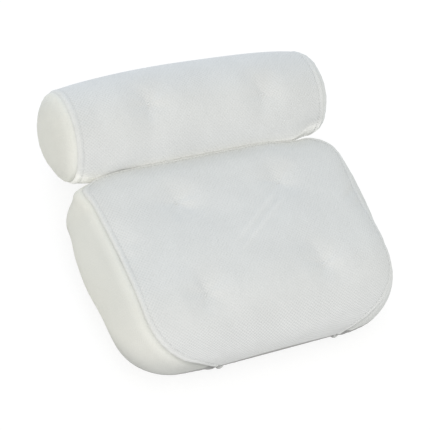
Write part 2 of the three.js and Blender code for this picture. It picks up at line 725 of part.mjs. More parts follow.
function addPatch(group, name, x, y, underside) {
  const patch = addPiece(group, `cup_patch_${name}`, patchGeometry(), webbing);
  patch.position.set(x, y, underside - SEWN_GAP - PATCH_THICKNESS);
}

function buildCups() {
  const cups = new THREE.Group();
  const underRoll = ROLL_CUPS.map(({ name, x, y }) => ({ name, x, y: ROLL_AXIS_Y + y }));
  for (const { name, x, y } of [...PAD_CUPS, ...underRoll]) {
    const cup = addPiece(cups, `suction_cup_${name}`, suctionCupGeometry(), clearVinyl);
    cup.position.set(x, y, 0);
  }
  return cups;
}

const pillow = new THREE.Group();
pillow.name = 'bath_pillow';
const cushions = new THREE.Group();
cushions.position.z = BASE_Z;
cushions.add(buildPad(), buildRoll());
pillow.add(cushions, buildCups());
const middle = new THREE.Box3().setFromObject(pillow).getCenter(new THREE.Vector3());
pillow.position.y = -middle.y;

export default pillow;
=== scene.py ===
import math
from dataclasses import dataclass

import bpy
import numpy as np
from mathutils import Matrix, Vector


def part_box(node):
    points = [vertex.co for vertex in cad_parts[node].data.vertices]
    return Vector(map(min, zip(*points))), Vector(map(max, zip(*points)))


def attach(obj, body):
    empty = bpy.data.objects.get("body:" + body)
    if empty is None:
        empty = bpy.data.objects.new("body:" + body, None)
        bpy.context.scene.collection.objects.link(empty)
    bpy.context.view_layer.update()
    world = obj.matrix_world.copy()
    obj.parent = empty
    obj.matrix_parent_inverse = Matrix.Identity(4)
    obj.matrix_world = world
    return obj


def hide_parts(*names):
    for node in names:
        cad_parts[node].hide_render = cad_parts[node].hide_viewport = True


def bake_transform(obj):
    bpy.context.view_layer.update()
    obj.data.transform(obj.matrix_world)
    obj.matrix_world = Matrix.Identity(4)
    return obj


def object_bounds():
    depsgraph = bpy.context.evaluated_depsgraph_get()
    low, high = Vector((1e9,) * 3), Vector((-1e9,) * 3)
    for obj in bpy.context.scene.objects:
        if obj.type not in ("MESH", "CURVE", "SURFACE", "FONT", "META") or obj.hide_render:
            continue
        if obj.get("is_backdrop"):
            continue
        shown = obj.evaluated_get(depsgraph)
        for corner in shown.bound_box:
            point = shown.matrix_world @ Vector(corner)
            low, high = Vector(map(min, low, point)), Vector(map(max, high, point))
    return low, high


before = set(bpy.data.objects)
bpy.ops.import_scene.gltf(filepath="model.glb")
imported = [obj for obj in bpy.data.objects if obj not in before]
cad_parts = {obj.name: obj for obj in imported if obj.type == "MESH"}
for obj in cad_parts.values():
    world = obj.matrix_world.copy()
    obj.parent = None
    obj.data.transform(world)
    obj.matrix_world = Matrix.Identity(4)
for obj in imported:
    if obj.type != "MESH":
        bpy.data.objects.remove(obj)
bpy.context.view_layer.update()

# A bath pillow of white air mesh: a boxed, tufted pad and a neck roll over foam, joined by a cloth hinge
# strip and standing on suction cups. Metres, in the frame's own axes.

# Places taken from the frame
top_low, top_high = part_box("pad_top_panel")
bottom_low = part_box("pad_bottom_panel")[0]
tube_low, tube_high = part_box("roll_tube")
BASE = bottom_low.z
BACK = top_high.y
NOSE_FORWARD = 0.004
PAD_DEPTH = top_high.y - top_low.y + NOSE_FORWARD
ROLL_RADIUS = (tube_high.y - tube_low.y) / 2
ROLL_HALF = tube_high.x
ROLL_AXIS_Y = (tube_high.y + tube_low.y) / 2

# Pad outline and heights
PAD_BACK_HALF = 0.155
PAD_FRONT_HALF = 0.151
BACK_CORNERS = {-1: 0.022, 1: 0.036}
FRONT_CORNER_WIDTH = 0.080
FRONT_CORNER_DEPTH = 0.058
FRONT_CORNER_POWER = 2.4
SIDE_DRAW_IN = 0.002
GUSSET_HEIGHT = 0.062
PAD_CROWN = 0.016
NOSE_REACH = 0.117
NOSE_CORNER_SHARE = 0.27
NOSE_POWER = 0.85
NOSE_SHIFT = 0.003
EDGE_ROUNDING = 0.004
FRONT_ROUNDING = 0.075
BACK_ROUNDING = 0.040
SIDE_FULLNESS = 4
NOSE_FULLNESS = 4
ROW_BOW = 2
TUCK_POWER = 3

# How far the boxing stands out past the top seam, and what each side adds to that along its seam
SIDE_BULGE = 0.009
SIDE_FLARE = 0.010
BACK_BULGE = 0.0015
BACK_FLARE = 0.002
FRONT_BULGE = 0.006
FRONT_FLARE = 0.007
LEANS = {
    -1: [0.001, 0.0005, 0.0072, 0.0100, 0.0075, 0.0082, 0.0062, 0.0015, 0],
    1: [0, 0.003, 0.0050, 0.0040, 0, -0.0010, -0.0010, 0, 0.0010],
}
BACK_PRESS = 0.0022
BACK_PRESS_HEIGHT = 0.0645
BACK_PRESS_REACH = 0.008
BACK_PRESS_POWER = 8
NOSE_BULGE = 0.0035

# Roll
ROLL_FLAT = 0.004
ROLL_AXIS_Z = tube_low.z + ROLL_RADIUS - ROLL_FLAT
ROLL_END_RADIUS = 0.050
ROLL_BARREL_POWER = 4
CAP_DOME = 0.015
CAP_DOME_POWER = 4
ROLL_CREST = 0.0022
ROLL_PRESS = 0.0040
ROLL_PRESS_ANGLE = math.radians(168)
ROLL_PRESS_REACH = 0.016
ROLL_PRESS_SPAN = 0.12
ROLL_PRESS_ENDS = {-1: 0.8, 1: 2.0}
ROLL_PRESS_POWERS = {-1: 6, 1: 4}
ROLL_PRESS_RIM_POWER = 8
ROLL_PRESS_END = 0.102
ROLL_PRESS_FADE = 0.034
ROLL_PRESS_TURN = math.radians(14)
ROLL_TURN_FROM = 0.105
ROLL_TURN_REACH = 0.030

# Tufts: places on the pad from its back seam, and on the roll round its axis
TUFT_DEPTH = 0.0068
TUFT_REACH = 0.034
PAD_TUFTS = {
    "back_left": (-0.066, -0.055),
    "back_right": (0.058, -0.055),
    "front_left": (-0.0785, -0.1655),
    "front_right": (0.0645, -0.1635),
}
ROLL_TUFTS = {
    "left": (-0.0655, math.radians(104)),
    "right": (0.0735, math.radians(114)),
}

# Cloth simulation
PAD_ROOM = 0.0012
ROLL_ROOM = 0.0003
SWELL_CAP = 0.008
SWELL_FRAMES = 20
SWELL_QUALITY = 6
PRESSURE = 4
SEAM_SHRINK = 0.003
STRETCH_STIFFNESS = 10
SHEAR_STIFFNESS = 5
BEND_STIFFNESS = 0.5
POINT_MASS = 0.15
PIN_REACH = 0.005
NOSE_HELD_FROM = 0.95
ROLL_HELD_FROM = math.radians(150)
ROLL_HELD_TO = math.radians(290)
PAD_ACROSS = 56
PAD_ALONG = 56
WALL_STEPS = 10
ROLL_ALONG = 56
ROLL_ROUND = 72
CAP_STEPS = 10

# Steps of the finished cloth: fine beside the seams, wider elsewhere
SEAM_STEP = 0.0008
CLOTH_STEP = 0.0023
SEWN_BAND = 0.010
FINE_ROUND = 160
GRADE_STEPS = 2000
CORNER_STEPS = 200
SIDE_STEPS = 400
MIDDLE_STEPS = 300
WELD_DIGITS = 6
TINY = 1e-12

# Sewing
COVER = 0.002
SEAM_DEPTH = 0.0010
SEAM_WIDTH = 0.0013
RIDGE_HEIGHT = 0.0007
RIDGE_AT = 0.0040
RIDGE_WIDTH = 0.0022
STITCH_AT = 0.0075
STITCH_DEPTH = 0.0006
STITCH_WIDTH = 0.0012
PUCKER_HEIGHT = 0.0004
PUCKER_REACH = 0.007
PUCKER_PITCH = 0.016
PUCKER_END = 6
RIPPLES = [(1, 0), (0.618, 1.1), (1.732, 2.3)]
GUSSET_RIPPLES = {"gusset_left": 0.3, "gusset_right": 0.6}
CAP_RIPPLES = {"cap_left": 0, "cap_right": 0.4}
STITCH_LENGTH = 0.0030
STITCH_PITCH = 0.0042
STITCH_RADIUS = 0.00035
STITCH_END = 0.985
STITCH_BEND = np.array([-0.0004, 0.0002, 0.0003, 0.0002, -0.0004])
STITCH_TAPER = np.array([0.6, 1, 1, 1, 0.6])
STITCH_SIDES = 6
TUFT_PINCH = 0.0008
TUFT_PINCH_REACH = 0.007
TUFT_FOLD = 0.0005
TUFT_FOLD_REACH = 0.012
TUFT_FOLDS = 5
TUFT_FOLD_TURN = 0.7
TUFT_FOLD_END = 5
STEEP = 0.9
TUFT_BAR = 0.0036
TUFT_BAR_RADIUS = 0.0008
TUFT_BAR_BOW = 6
TUFT_BAR_STEPS = 7
TUFT_RUN = np.array([1.0, 0.5, 0])

# Fold across the pad's top, as two faint ridges side by side
FOLD_FROM = np.array([0.0574, -0.0689])
FOLD_TO = np.array([-0.0307, -0.1300])
FOLD_HALF = 0.0055
# Painted highlight along the fold's ridges
FOLD_LIGHT = 0.25
FOLD_WIDTH = 0.0018
FOLD_HEIGHT = 0.0005
FOLD_FADE = 0.2

# Foam, ties, patches, strip and cups
FOAM_GAP = 0.0004
PLY_RADIUS = 0.0006
PLY_TURNS = 12
PLY_STEPS = 120
PLY_SIDES = 8
KNOT_RADIUS = 0.0022
KNOT_STEPS = 9
KNOT_SIDES = 16
KNOT_END = 0.01
PATCH_RADIUS = 0.020
PATCH_RINGS = 12
PATCH_EDGE_STEPS = 9
HOLE_RADIUS = 0.005
HEAD_ROOM = 0.0006
STRIP_LENGTH = 0.236
STRIP_THICKNESS = 0.0012
STRIP_SEAT = 0.0004
STRIP_WALL_TOP = 0.018
STRIP_WALL_LOW = 0.009
STRIP_SAG = 0.002
STRIP_ROLL_LOW = math.radians(54)
STRIP_ROLL_TOP = math.radians(38)
STRIP_EASE = 0.012
STRIP_SEWN_STEPS = 8
STRIP_LOOP_STEPS = 18
STRIP_STEPS = 80
CUP_LIP = 0.024
CUP_LIP_WIDTH = 0.0016
CUP_LIP_EDGE = 0.0010
CUP_HOLLOW = 0.009
CUP_HEIGHT = 0.013
CUP_SHOULDER = 0.009
CUP_NECK = 0.0045
CUP_NECK_TOP = 0.0171
CUP_HEAD = 0.008
CUP_HEAD_TOP = 0.004
CUP_HEAD_HEIGHT = 0.0045
CUP_STEPS = 24
CUP_LIP_STRIDE = 4
CUP_HEAD_STRIDE = 3
LATHE_SIDES = 64
SHARP_CLOTH = math.radians(60)
SHARP_ROUND = math.radians(50)

# Air mesh
OPEN_LEAST = 0.10
OPEN_SEAM = 0.35
OPEN_TUFT = 0.4
OPEN_NOSE = 0.55
OPEN_SEAM_REACH = 0.030
OPEN_TUFT_REACH = 0.018
OPEN_NOSE_FROM = 0.175
OPEN_NOSE_REACH = 0.040
# Painted shade along the pad's lower edge: a dark line painted right at the edge for the shade under it,
# and a darker ramp above it, which stands higher towards the front
EDGE_SHADOW_WIDTH = 0.0125
EDGE_SHADOW_BLUR = 0.0008
SIDE_SHADE_START = 0.0030
EDGE_SHADE_REACH = 0.046
SIDE_SHADE_LIFT = 0.020
SIDE_SHADE_FROM = 0.130
SIDE_SHADE_FADE = 0.060
# Painted light where the roll's underside and the pad's back face each other across the crevice, in place
# of light that would come through the mesh
PAINTED_LIGHT_FROM = math.radians(158)
PAINTED_LIGHT_TO = math.radians(258)
PAINTED_LIGHT_FADE = math.radians(18)
PAINTED_LIGHT_TURN = math.radians(7)
PAINTED_LIGHT_TURN_FROM = 0.080
PAINTED_LIGHT_TURN_REACH = 0.040
PAINTED_LIGHT_EDGE = 0.6
PAINTED_LIGHT_REACH = 0.010
PAINTED_LIGHT_LOW = 0.030
PAINTED_LIGHT_RISE = 0.030
PAINTED_GLOW = 0.13
PAINTED_GLOW_FROM = 0.4
# Painted light on one wall of each tuft's dimple
TUFT_WALL = 0.008
TUFT_WALL_REACH = 0.014
TUFT_LIGHT = 0.27
MESH_PITCH = 0.0040
SIDE_PITCH = 0.0022


def lerp(a, b, t):
    return a + (b - a) * t


def smooth(t):
    t = np.clip(t, 0, 1)
    return t * t * (3 - 2 * t)


def quarter_round(share):
    across = 1 - np.clip(share, 0, 1)
    return np.sqrt(1 - across * across)


def hump(distance, width):
    return np.exp(-((distance / width) ** 2))


def unit(vectors):
    length = np.linalg.norm(vectors, axis=-1, keepdims=True)
    return vectors / np.maximum(length, TINY)


def tuft_dip(distance):
    share = np.minimum(distance / TUFT_REACH, 1)
    return TUFT_DEPTH * (1 - share * share) ** 2


def lengths(points, axis=0):
    """Length along lines of points, from the start of each line."""
    points = np.moveaxis(points, axis, 0)
    steps = np.linalg.norm(np.diff(points, axis=0), axis=-1)
    total = np.concatenate([np.zeros((1,) + steps.shape[1:]), np.cumsum(steps, axis=0)])
    return np.moveaxis(total, 0, axis)


def read_at(want, places, values):
    """Columns of values, read where their places reach the wanted ones."""
    return np.stack([np.interp(want, places, column) for column in values.T], -1)


def round_angles(count):
    """Angles of even steps round a circle."""
    return np.arange(count) * 2 * math.pi / count


def graded(length, low=True, high=True):
    """Shares from 0 to 1, closer together near the sewn ends."""
    share = np.linspace(0, 1, GRADE_STEPS + 1)
    from_low = share * length if low else np.full_like(share, length)
    from_high = (1 - share) * length if high else np.full_like(share, length)
    away = smooth((np.minimum(from_low, from_high) - SEWN_BAND) / SEWN_BAND)
    density = length / lerp(SEAM_STEP, CLOTH_STEP, away)
    total = np.concatenate([[0], np.cumsum((density[1:] + density[:-1]) / 2 / GRADE_STEPS)])
    return np.interp(np.linspace(0, total[-1], int(round(total[-1])) + 1), total, share)


def cubic_weights(places, count, wrapped=False):
    """Catmull-Rom weights that read a row of count values at places from 0 to 1."""
    spans = count if wrapped else count - 1
    at = np.asarray(places) * spans
    first = np.clip(np.floor(at).astype(int), 0, spans - 1)
    f = at - first
    terms = [
        (-f + 2 * f**2 - f**3) / 2,
        (2 - 5 * f**2 + 3 * f**3) / 2,
        (f + 4 * f**2 - 3 * f**3) / 2,
        (-(f**2) + f**3) / 2,
    ]
    weights = np.zeros((len(at), count))
    for k, term in enumerate(terms):
        index = first + k - 1
        index = index % count if wrapped else np.clip(index, 0, count - 1)
        np.add.at(weights, (np.arange(len(at)), index), term)
    return weights


# Pad surfaces, measured from the back seam and the underside. v runs along the side seam from the back
# edge to the front tab, u across the pad from left to right, and t down the boxing.

def seam_table(back_corner):
    """Places along one side's seam and its outward directions, by v."""
    turn = np.linspace(0, math.pi / 2, CORNER_STEPS)
    share = np.linspace(0, 1, SIDE_STEPS)

    def half_at(y):
        return lerp(PAD_BACK_HALF, PAD_FRONT_HALF, -y / PAD_DEPTH)

    y_back = -back_corner * (1 - np.cos(turn))
    x_back = half_at(y_back) - back_corner * (1 - np.sin(turn))
    y_side = lerp(-back_corner, FRONT_CORNER_DEPTH - PAD_DEPTH, share)
    x_side = half_at(y_side) - SIDE_DRAW_IN * np.sin(math.pi * share) ** 2
    power = 2 / FRONT_CORNER_POWER
    y_front = -PAD_DEPTH + FRONT_CORNER_DEPTH * (1 - np.sin(turn) ** power)
    x_front = half_at(y_front) - FRONT_CORNER_WIDTH * (1 - np.maximum(np.cos(turn), 0) ** power)
    x = np.concatenate([x_back, x_side[1:], x_front[1:]])
    y = np.concatenate([y_back, y_side[1:], y_front[1:]])
    corner = np.clip((x - x[-1]) / FRONT_CORNER_WIDTH, 0, 1)
    rise = (y + PAD_DEPTH) / NOSE_REACH + NOSE_CORNER_SHARE * corner
    z = GUSSET_HEIGHT * np.sin(np.clip(rise, 0, 1) * math.pi / 2) ** NOSE_POWER
    z[-1] = 0
    points = np.stack([x, y, z], 1)
    along = np.gradient(points[:, :2], axis=0)
    outward = unit(np.stack([-along[:, 1], along[:, 0]], 1))
    outward[0] = (0, 1)
    outward[-1] = (0, -1)
    length = lengths(points)
    return length / length[-1], points, outward


SEAMS = {side: seam_table(corner) for side, corner in BACK_CORNERS.items()}


def seam_at(v, side):
    places, line, directions = SEAMS[side]
    return read_at(v, places, line), unit(read_at(v, places, directions))


def tucked(z):
    """How far the cloth rolls in under the pad's lower edge."""
    rest = EDGE_ROUNDING - np.clip(z, 0, EDGE_ROUNDING)
    return EDGE_ROUNDING - np.sqrt(EDGE_ROUNDING**2 - rest**2)


def shifted(points):
    """The pad's front end sits a little to the right of its back."""
    moved = points.copy()
    moved[..., 0] += NOSE_SHIFT * smooth(-points[..., 1] / PAD_DEPTH)
    return moved


def middle_height(y, room):
    crest = GUSSET_HEIGHT + PAD_CROWN - room
    over_nose = crest * quarter_round((y + PAD_DEPTH) / FRONT_ROUNDING)
    over_back = GUSSET_HEIGHT + (crest - GUSSET_HEIGHT) * quarter_round(-y / BACK_ROUNDING)
    return np.minimum(over_nose, over_back)


def middle_places(v, room):
    """Places along the pad's middle line, spaced evenly over its crown and nose."""
    turn = np.linspace(0, math.pi / 2, MIDDLE_STEPS)
    crown = np.linspace(0, FRONT_ROUNDING - PAD_DEPTH, MIDDLE_STEPS)
    y = np.concatenate([crown, -PAD_DEPTH + FRONT_ROUNDING * (1 - np.sin(turn))])
    length = lengths(np.stack([y, middle_height(y, room)], 1))
    return np.interp(v, length / length[-1], y)


def top_grid(u, v, room):
    points = np.zeros((len(v), len(u), 3))
    mid_y = middle_places(v, room)[:, None]
    for side in (-1, 1):
        edge, outward = seam_at(v, side)
        here = u * side >= 0
        across = np.abs(u[None, here])
        x = side * across * edge[:, :1]
        y = mid_y + (edge[:, 1:2] - mid_y) * across**ROW_BOW
        rim = edge[:, 2:3]
        z = rim + (middle_height(y, room) - rim) * np.sqrt(1 - across**SIDE_FULLNESS)
        nose = smooth((FRONT_ROUNDING - PAD_DEPTH - y) / FRONT_ROUNDING)
        bulge = np.sin(math.pi * np.clip(z / GUSSET_HEIGHT, 0, 1)) * (1 - across**NOSE_FULLNESS)
        y = y - NOSE_BULGE * nose * bulge
        for tuft_x, tuft_y in PAD_TUFTS.values():
            z = z - tuft_dip(np.hypot(x - tuft_x, y - tuft_y))
        x = x - side * outward[:, :1] * across**TUCK_POWER * tucked(z)
        y = y - outward[:, 1:] * tucked(z)
        points[:, here] = np.stack([x, y, np.maximum(z, 0)], 2)
    return shifted(points)


def boxing_swell(v, share, room, side):
    """How far the boxing stands out along its seam, at a share of its height."""
    edge, outward = seam_at(v, side)
    sideways = outward[:, :1] ** 2
    lengthways = outward[:, 1:] ** 2
    back = outward[:, 1:] > 0
    lean = (cubic_weights(v, len(LEANS[side])) @ np.array(LEANS[side]) * (v > 0))[:, None]
    bulge = SIDE_BULGE * sideways + np.where(back, BACK_BULGE, FRONT_BULGE) * lengthways + lean
    flare = SIDE_FLARE * sideways + np.where(back, BACK_FLARE, FRONT_FLARE) * lengthways + lean
    fade = edge[:, 2:3] / GUSSET_HEIGHT
    share = share[None, :]
    return (np.maximum(bulge - room, 0) * np.sin(math.pi * share) + flare * (1 - share)) * fade


def gusset_grid(t, v, side, room):
    edge, outward = seam_at(v, side)
    z = edge[:, 2:3] * (1 - t)[None, :]
    stands = boxing_swell(v, 1 - t, room, side) - tucked(z)
    x = edge[:, :1] + outward[:, :1] * stands
    y = edge[:, 1:2] + outward[:, 1:] * stands
    return shifted(np.stack([side * x, y, z], 2))


def back_grid(u, t, room):
    start = np.zeros(1)
    left, right = (seam_at(start, side)[0][0, 0] for side in (-1, 1))
    height = GUSSET_HEIGHT * (1 - t)
    stands = boxing_swell(start, 1 - t, room, 1)[0] - tucked(height)
    x = np.broadcast_to(np.where(u < 0, u * left, u * right)[None, :], (len(t), len(u)))
    y = np.broadcast_to(stands[:, None], x.shape)
    z = np.broadcast_to(height[:, None], x.shape)
    return shifted(np.stack([x, y, z], 2))


def bottom_grid(u, v):
    foot_level = np.zeros(1)
    x = np.zeros((len(v), len(u)))
    y = np.zeros((len(v), len(u)))
    for side in (-1, 1):
        edge, outward = seam_at(v, side)
        flare = boxing_swell(v, foot_level, 0, side) - EDGE_ROUNDING
        foot_x = edge[:, :1] + outward[:, :1] * flare
        foot_y = edge[:, 1:2] + outward[:, 1:] * flare
        mid_y = lerp(foot_y[0, 0], foot_y[-1, 0], v)[:, None]
        here = u * side >= 0
        x[:, here] = u[None, here] * foot_x
        y[:, here] = mid_y + (foot_y - mid_y) * np.abs(u[None, here]) ** ROW_BOW
    return shifted(np.stack([x, y, np.zeros_like(x)], 2))


# Roll surfaces, about the roll's own axis. The angle runs from +Y towards +Z.

def roll_radius(x):
    share = np.abs(x) / ROLL_HALF
    return lerp(ROLL_END_RADIUS, ROLL_RADIUS, 1 - share**ROLL_BARREL_POWER)


def round_distance(angle, from_angle):
    turn = angle - from_angle
    return np.arctan2(np.sin(turn), np.cos(turn)) * ROLL_RADIUS


def roll_point(x, angle, room):
    crest = ROLL_CREST * np.maximum(np.sin(angle), 0) ** 2 * (1 - (x / ROLL_HALF) ** 2)
    centre = ROLL_PRESS_ANGLE + ROLL_PRESS_TURN * smooth((-x - ROLL_TURN_FROM) / ROLL_TURN_REACH)
    press = ROLL_PRESS * hump(round_distance(angle, centre), ROLL_PRESS_REACH)
    for side in (-1, 1):
        out = np.maximum(side * x / ROLL_PRESS_SPAN, 0)
        press = press * (1 + ROLL_PRESS_ENDS[side] * out ** ROLL_PRESS_POWERS[side])
    press = press * (1 - (x / ROLL_HALF) ** ROLL_PRESS_RIM_POWER)
    press = press * (1 - smooth((x - ROLL_PRESS_END) / ROLL_PRESS_FADE))
    radius = roll_radius(x) - room + crest + press
    for tuft_x, tuft_angle in ROLL_TUFTS.values():
        radius = radius - tuft_dip(np.hypot(x - tuft_x, round_distance(angle, tuft_angle)))
    z = np.maximum(radius * np.sin(angle), ROLL_FLAT - ROLL_RADIUS)
    return np.stack([x, radius * np.cos(angle), z], -1)


def tube_grid(s, angle, room):
    x, a = np.meshgrid(s * ROLL_HALF, angle, indexing="ij")
    return roll_point(x, a, room)


def cap_grid(r, angle, side, room):
    rim = roll_point(np.full(len(angle), side * ROLL_HALF), angle, room)
    dome = (CAP_DOME - room) * (1 - r**CAP_DOME_POWER)
    x = np.broadcast_to(side * (ROLL_HALF + dome)[:, None], (len(r), len(angle)))
    return np.stack([x, r[:, None] * rim[None, :, 1], r[:, None] * rim[None, :, 2]], 2)


# Meshes from grids of points

@dataclass
class Panel:
    """A grid of points, the way its faces wind and whether its columns close on themselves."""
    points: np.ndarray
    flip: bool
    wrapped: bool = False


def pad_panels(u, v, t, room):
    return {
        "top": Panel(top_grid(u, v, room), flip=False),
        "gusset_left": Panel(gusset_grid(t, v, -1, room), flip=True),
        "gusset_right": Panel(gusset_grid(t, v, 1, room), flip=False),
        "back": Panel(back_grid(u, t, room), flip=True),
        "bottom": Panel(bottom_grid(u, v), flip=True),
    }


def roll_panels(s, r, angle, room):
    return {
        "tube": Panel(tube_grid(s, angle, room), flip=True, wrapped=True),
        "cap_left": Panel(cap_grid(r, angle, -1, room), flip=True, wrapped=True),
        "cap_right": Panel(cap_grid(r, angle, 1, room), flip=False, wrapped=True),
    }


def grid_faces(panel, start):
    rows, columns = panel.points.shape[:2]
    spans = columns if panel.wrapped else columns - 1
    i, j = np.meshgrid(np.arange(rows - 1), np.arange(spans), indexing="ij")
    after = (j + 1) % columns
    corners = [i * columns + j, (i + 1) * columns + j, (i + 1) * columns + after, i * columns + after]
    faces = np.stack(corners, -1).reshape(-1, 4) + start
    return faces[:, ::-1] if panel.flip else faces


def weld(panels):
    """One mesh of panels that share edges: its points, faces and each panel's point numbers."""
    points = np.concatenate([p.points.reshape(-1, 3) for p in panels])
    rounded = np.round(points, WELD_DIGITS)
    _, first, number = np.unique(rounded, axis=0, return_index=True, return_inverse=True)
    number = number.reshape(-1)
    faces = []
    numbers = []
    start = 0
    for panel in panels:
        faces.append(number[grid_faces(panel, start)])
        rows, columns = panel.points.shape[:2]
        numbers.append(number[start:start + rows * columns].reshape(rows, columns))
        start += rows * columns
    return points[first], np.concatenate(faces), numbers


def point_normals(points, faces):
    a, b, c, d = (points[faces[:, k]] for k in range(4))
    across = np.cross(c - a, d - b)
    normals = np.zeros_like(points)
    for k in range(4):
        np.add.at(normals, faces[:, k], across)
    return unit(normals)


def linked(name, data):
    """An object of the scene."""
    obj = bpy.data.objects.new(name, data)
    bpy.context.scene.collection.objects.link(obj)
    return obj


def new_object(name, points, faces):
    """A smooth-shaded mesh object. Corners of a face that coincide count once."""
    corners = [list(dict.fromkeys(face)) for face in np.asarray(faces).tolist()]
    mesh = bpy.data.meshes.new(name)
    mesh.from_pydata(np.asarray(points).tolist(), [], [face for face in corners if len(face) > 2])
    mesh.validate()
    mesh.shade_smooth()
    return linked(name, mesh)


def marked(numbers, masks):
    """Point numbers where a panel's mask is true."""
    chosen = [number[mask] for number, mask in zip(numbers, masks)]
    return [int(n) for n in np.unique(np.concatenate(chosen))]


def swell(panels, held, sewn):
    """How far each panel's points move when the sewn shell is blown up with its held points fixed."""
    names = list(panels)
    points, faces, numbers = weld([panels[name] for name in names])
    shell = new_object("swelling_shell", points, faces)
    pins = shell.vertex_groups.new(name="held")
    pins.add(marked(numbers, [held[name] for name in names]), 1.0, "REPLACE")
    seams = shell.vertex_groups.new(name="sewn")
    seams.add(marked(numbers, [sewn[name] for name in names]), 1.0, "REPLACE")
    cloth = shell.modifiers.new("swell", "CLOTH")
    settings = cloth.settings
    settings.quality = SWELL_QUALITY
    settings.mass = POINT_MASS
    settings.tension_stiffness = STRETCH_STIFFNESS
    settings.compression_stiffness = STRETCH_STIFFNESS
    settings.shear_stiffness = SHEAR_STIFFNESS
    settings.bending_stiffness = BEND_STIFFNESS
    settings.use_pressure = True
    settings.uniform_pressure_force = PRESSURE
    settings.effector_weights.gravity = 0
    settings.vertex_group_mass = "held"
    settings.vertex_group_shrink = "sewn"
    settings.shrink_max = SEAM_SHRINK
    cloth.collision_settings.use_collision = False
    scene = bpy.context.scene
    for number in range(1, SWELL_FRAMES + 1):
        scene.frame_set(number)
    evaluated = shell.evaluated_get(bpy.context.evaluated_depsgraph_get())
    moved = np.zeros(len(points) * 3, np.float32)
    evaluated.data.vertices.foreach_get("co", moved)
    shift = moved.reshape(-1, 3) - points
    length = np.linalg.norm(shift, axis=1, keepdims=True)
    shift = shift * np.minimum(1, SWELL_CAP / np.maximum(length, TINY))
    scene.frame_set(1)
    bpy.data.objects.remove(shell)
    return {name: shift[number] for name, number in zip(names, numbers)}


def no_points(panels):
    """A mask for each panel, with nothing marked yet."""
    return {name: np.zeros(panel.points.shape[:2], bool) for name, panel in panels.items()}


def read_fine(shift, rows, columns, wrapped=False):
    """A coarse panel's movement, read at the finished cloth's places."""
    along = cubic_weights(rows, shift.shape[0])
    across = cubic_weights(columns, shift.shape[1], wrapped)
    return np.einsum("ri,ijk,cj->rck", along, shift, across, optimize=True)


# Swelling of the pad and the roll

coarse_u = np.linspace(-1, 1, PAD_ACROSS + 1)
coarse_v = np.linspace(0, 1, PAD_ALONG + 1)
coarse_t = np.linspace(0, 1, WALL_STEPS + 1)
coarse_s = np.linspace(-1, 1, ROLL_ALONG + 1)
coarse_r = np.linspace(0, 1, CAP_STEPS + 1)
coarse_angle = round_angles(ROLL_ROUND)

pad_coarse = pad_panels(coarse_u, coarse_v, coarse_t, PAD_ROOM)
pad_held = no_points(pad_coarse)
pad_held["bottom"][:] = True
pad_held["back"][:] = True
for name in ("gusset_left", "gusset_right"):
    pad_held[name][coarse_v > NOSE_HELD_FROM, :] = True
x, y, _ = np.moveaxis(pad_coarse["top"].points, -1, 0)
for tuft_x, tuft_y in PAD_TUFTS.values():
    pad_held["top"] |= np.hypot(x - tuft_x, y - tuft_y) < PIN_REACH
pad_sewn = no_points(pad_coarse)
pad_sewn["top"][0, :] = True
pad_sewn["top"][:, [0, -1]] = True
pad_swell = swell(pad_coarse, pad_held, pad_sewn)

roll_coarse = roll_panels(coarse_s, coarse_r, coarse_angle, ROLL_ROOM)
roll_held = no_points(roll_coarse)
roll_held["tube"][:, (coarse_angle > ROLL_HELD_FROM) & (coarse_angle < ROLL_HELD_TO)] = True
for tuft_x, tuft_angle in ROLL_TUFTS.values():
    along = coarse_s[:, None] * ROLL_HALF - tuft_x
    roll_held["tube"] |= np.hypot(along, round_distance(coarse_angle[None, :], tuft_angle)) < PIN_REACH
roll_sewn = no_points(roll_coarse)
roll_sewn["tube"][[0, -1], :] = True
roll_swell = swell(roll_coarse, roll_held, roll_sewn)


# Finished cloth: the swollen form read finely, given its small unevennesses, then sewn

# Soft pushes of the cloth: centre, push and reach, on the pad and on the roll
PAD_PUSHES = [
    ((-0.1400, -0.0020, 0.062), (-0.0020, -0.0015, -0.0040), 0.018),
    ((-0.1570, -0.0120, 0.054), (-0.0060, 0.0030, 0.0020), 0.013),
    ((-0.0950, -0.2080, 0.004), (0, 0.0022, 0.0025), 0.018),
    ((0.1500, -0.1620, 0.056), (-0.0035, 0, 0), 0.034),
    ((0.1080, -0.0040, 0.064), (0, -0.0030, -0.0035), 0.028),
]
ROLL_PUSHES = [
    ((-0.163, -0.025, -0.040), (0.0030, 0.0010, 0.0010), 0.032),
    ((-0.155, 0.020, 0.045), (-0.0010, 0.0010, 0.0025), 0.040),
    ((-0.030, 0.020, 0.055), (0, 0.0010, 0.0030), 0.080),
    ((0.140, -0.043, -0.028), (0, 0.0020, 0.0025), 0.028),
]


def pressed(points):
    """The pad's upper back edge leans on the roll."""
    moved = points.copy()
    x, y, z = np.moveaxis(points, -1, 0)
    across = 1 - np.clip(np.abs(x) / PAD_BACK_HALF, 0, 1) ** BACK_PRESS_POWER
    level = hump(z - BACK_PRESS_HEIGHT, BACK_PRESS_REACH) * hump(y, BACK_PRESS_REACH)
    moved[..., 1] += BACK_PRESS * across * level
    return moved


def pushed(points, pushes):
    moved = points.copy()
    for centre, push, reach in pushes:
        away = np.linalg.norm(points - np.array(centre), axis=-1)
        moved += hump(away, reach)[..., None] * np.array(push)
    return moved


fine_u = 2 * graded(2 * PAD_BACK_HALF) - 1
fine_v = graded(2 * PAD_BACK_HALF)
fine_t = graded(GUSSET_HEIGHT)
fine_s = 2 * graded(2 * ROLL_HALF) - 1
fine_r = graded(ROLL_END_RADIUS, low=False)
fine_angle = round_angles(FINE_ROUND)
share_u = (fine_u + 1) / 2
share_s = (fine_s + 1) / 2
share_angle = fine_angle / (2 * math.pi)

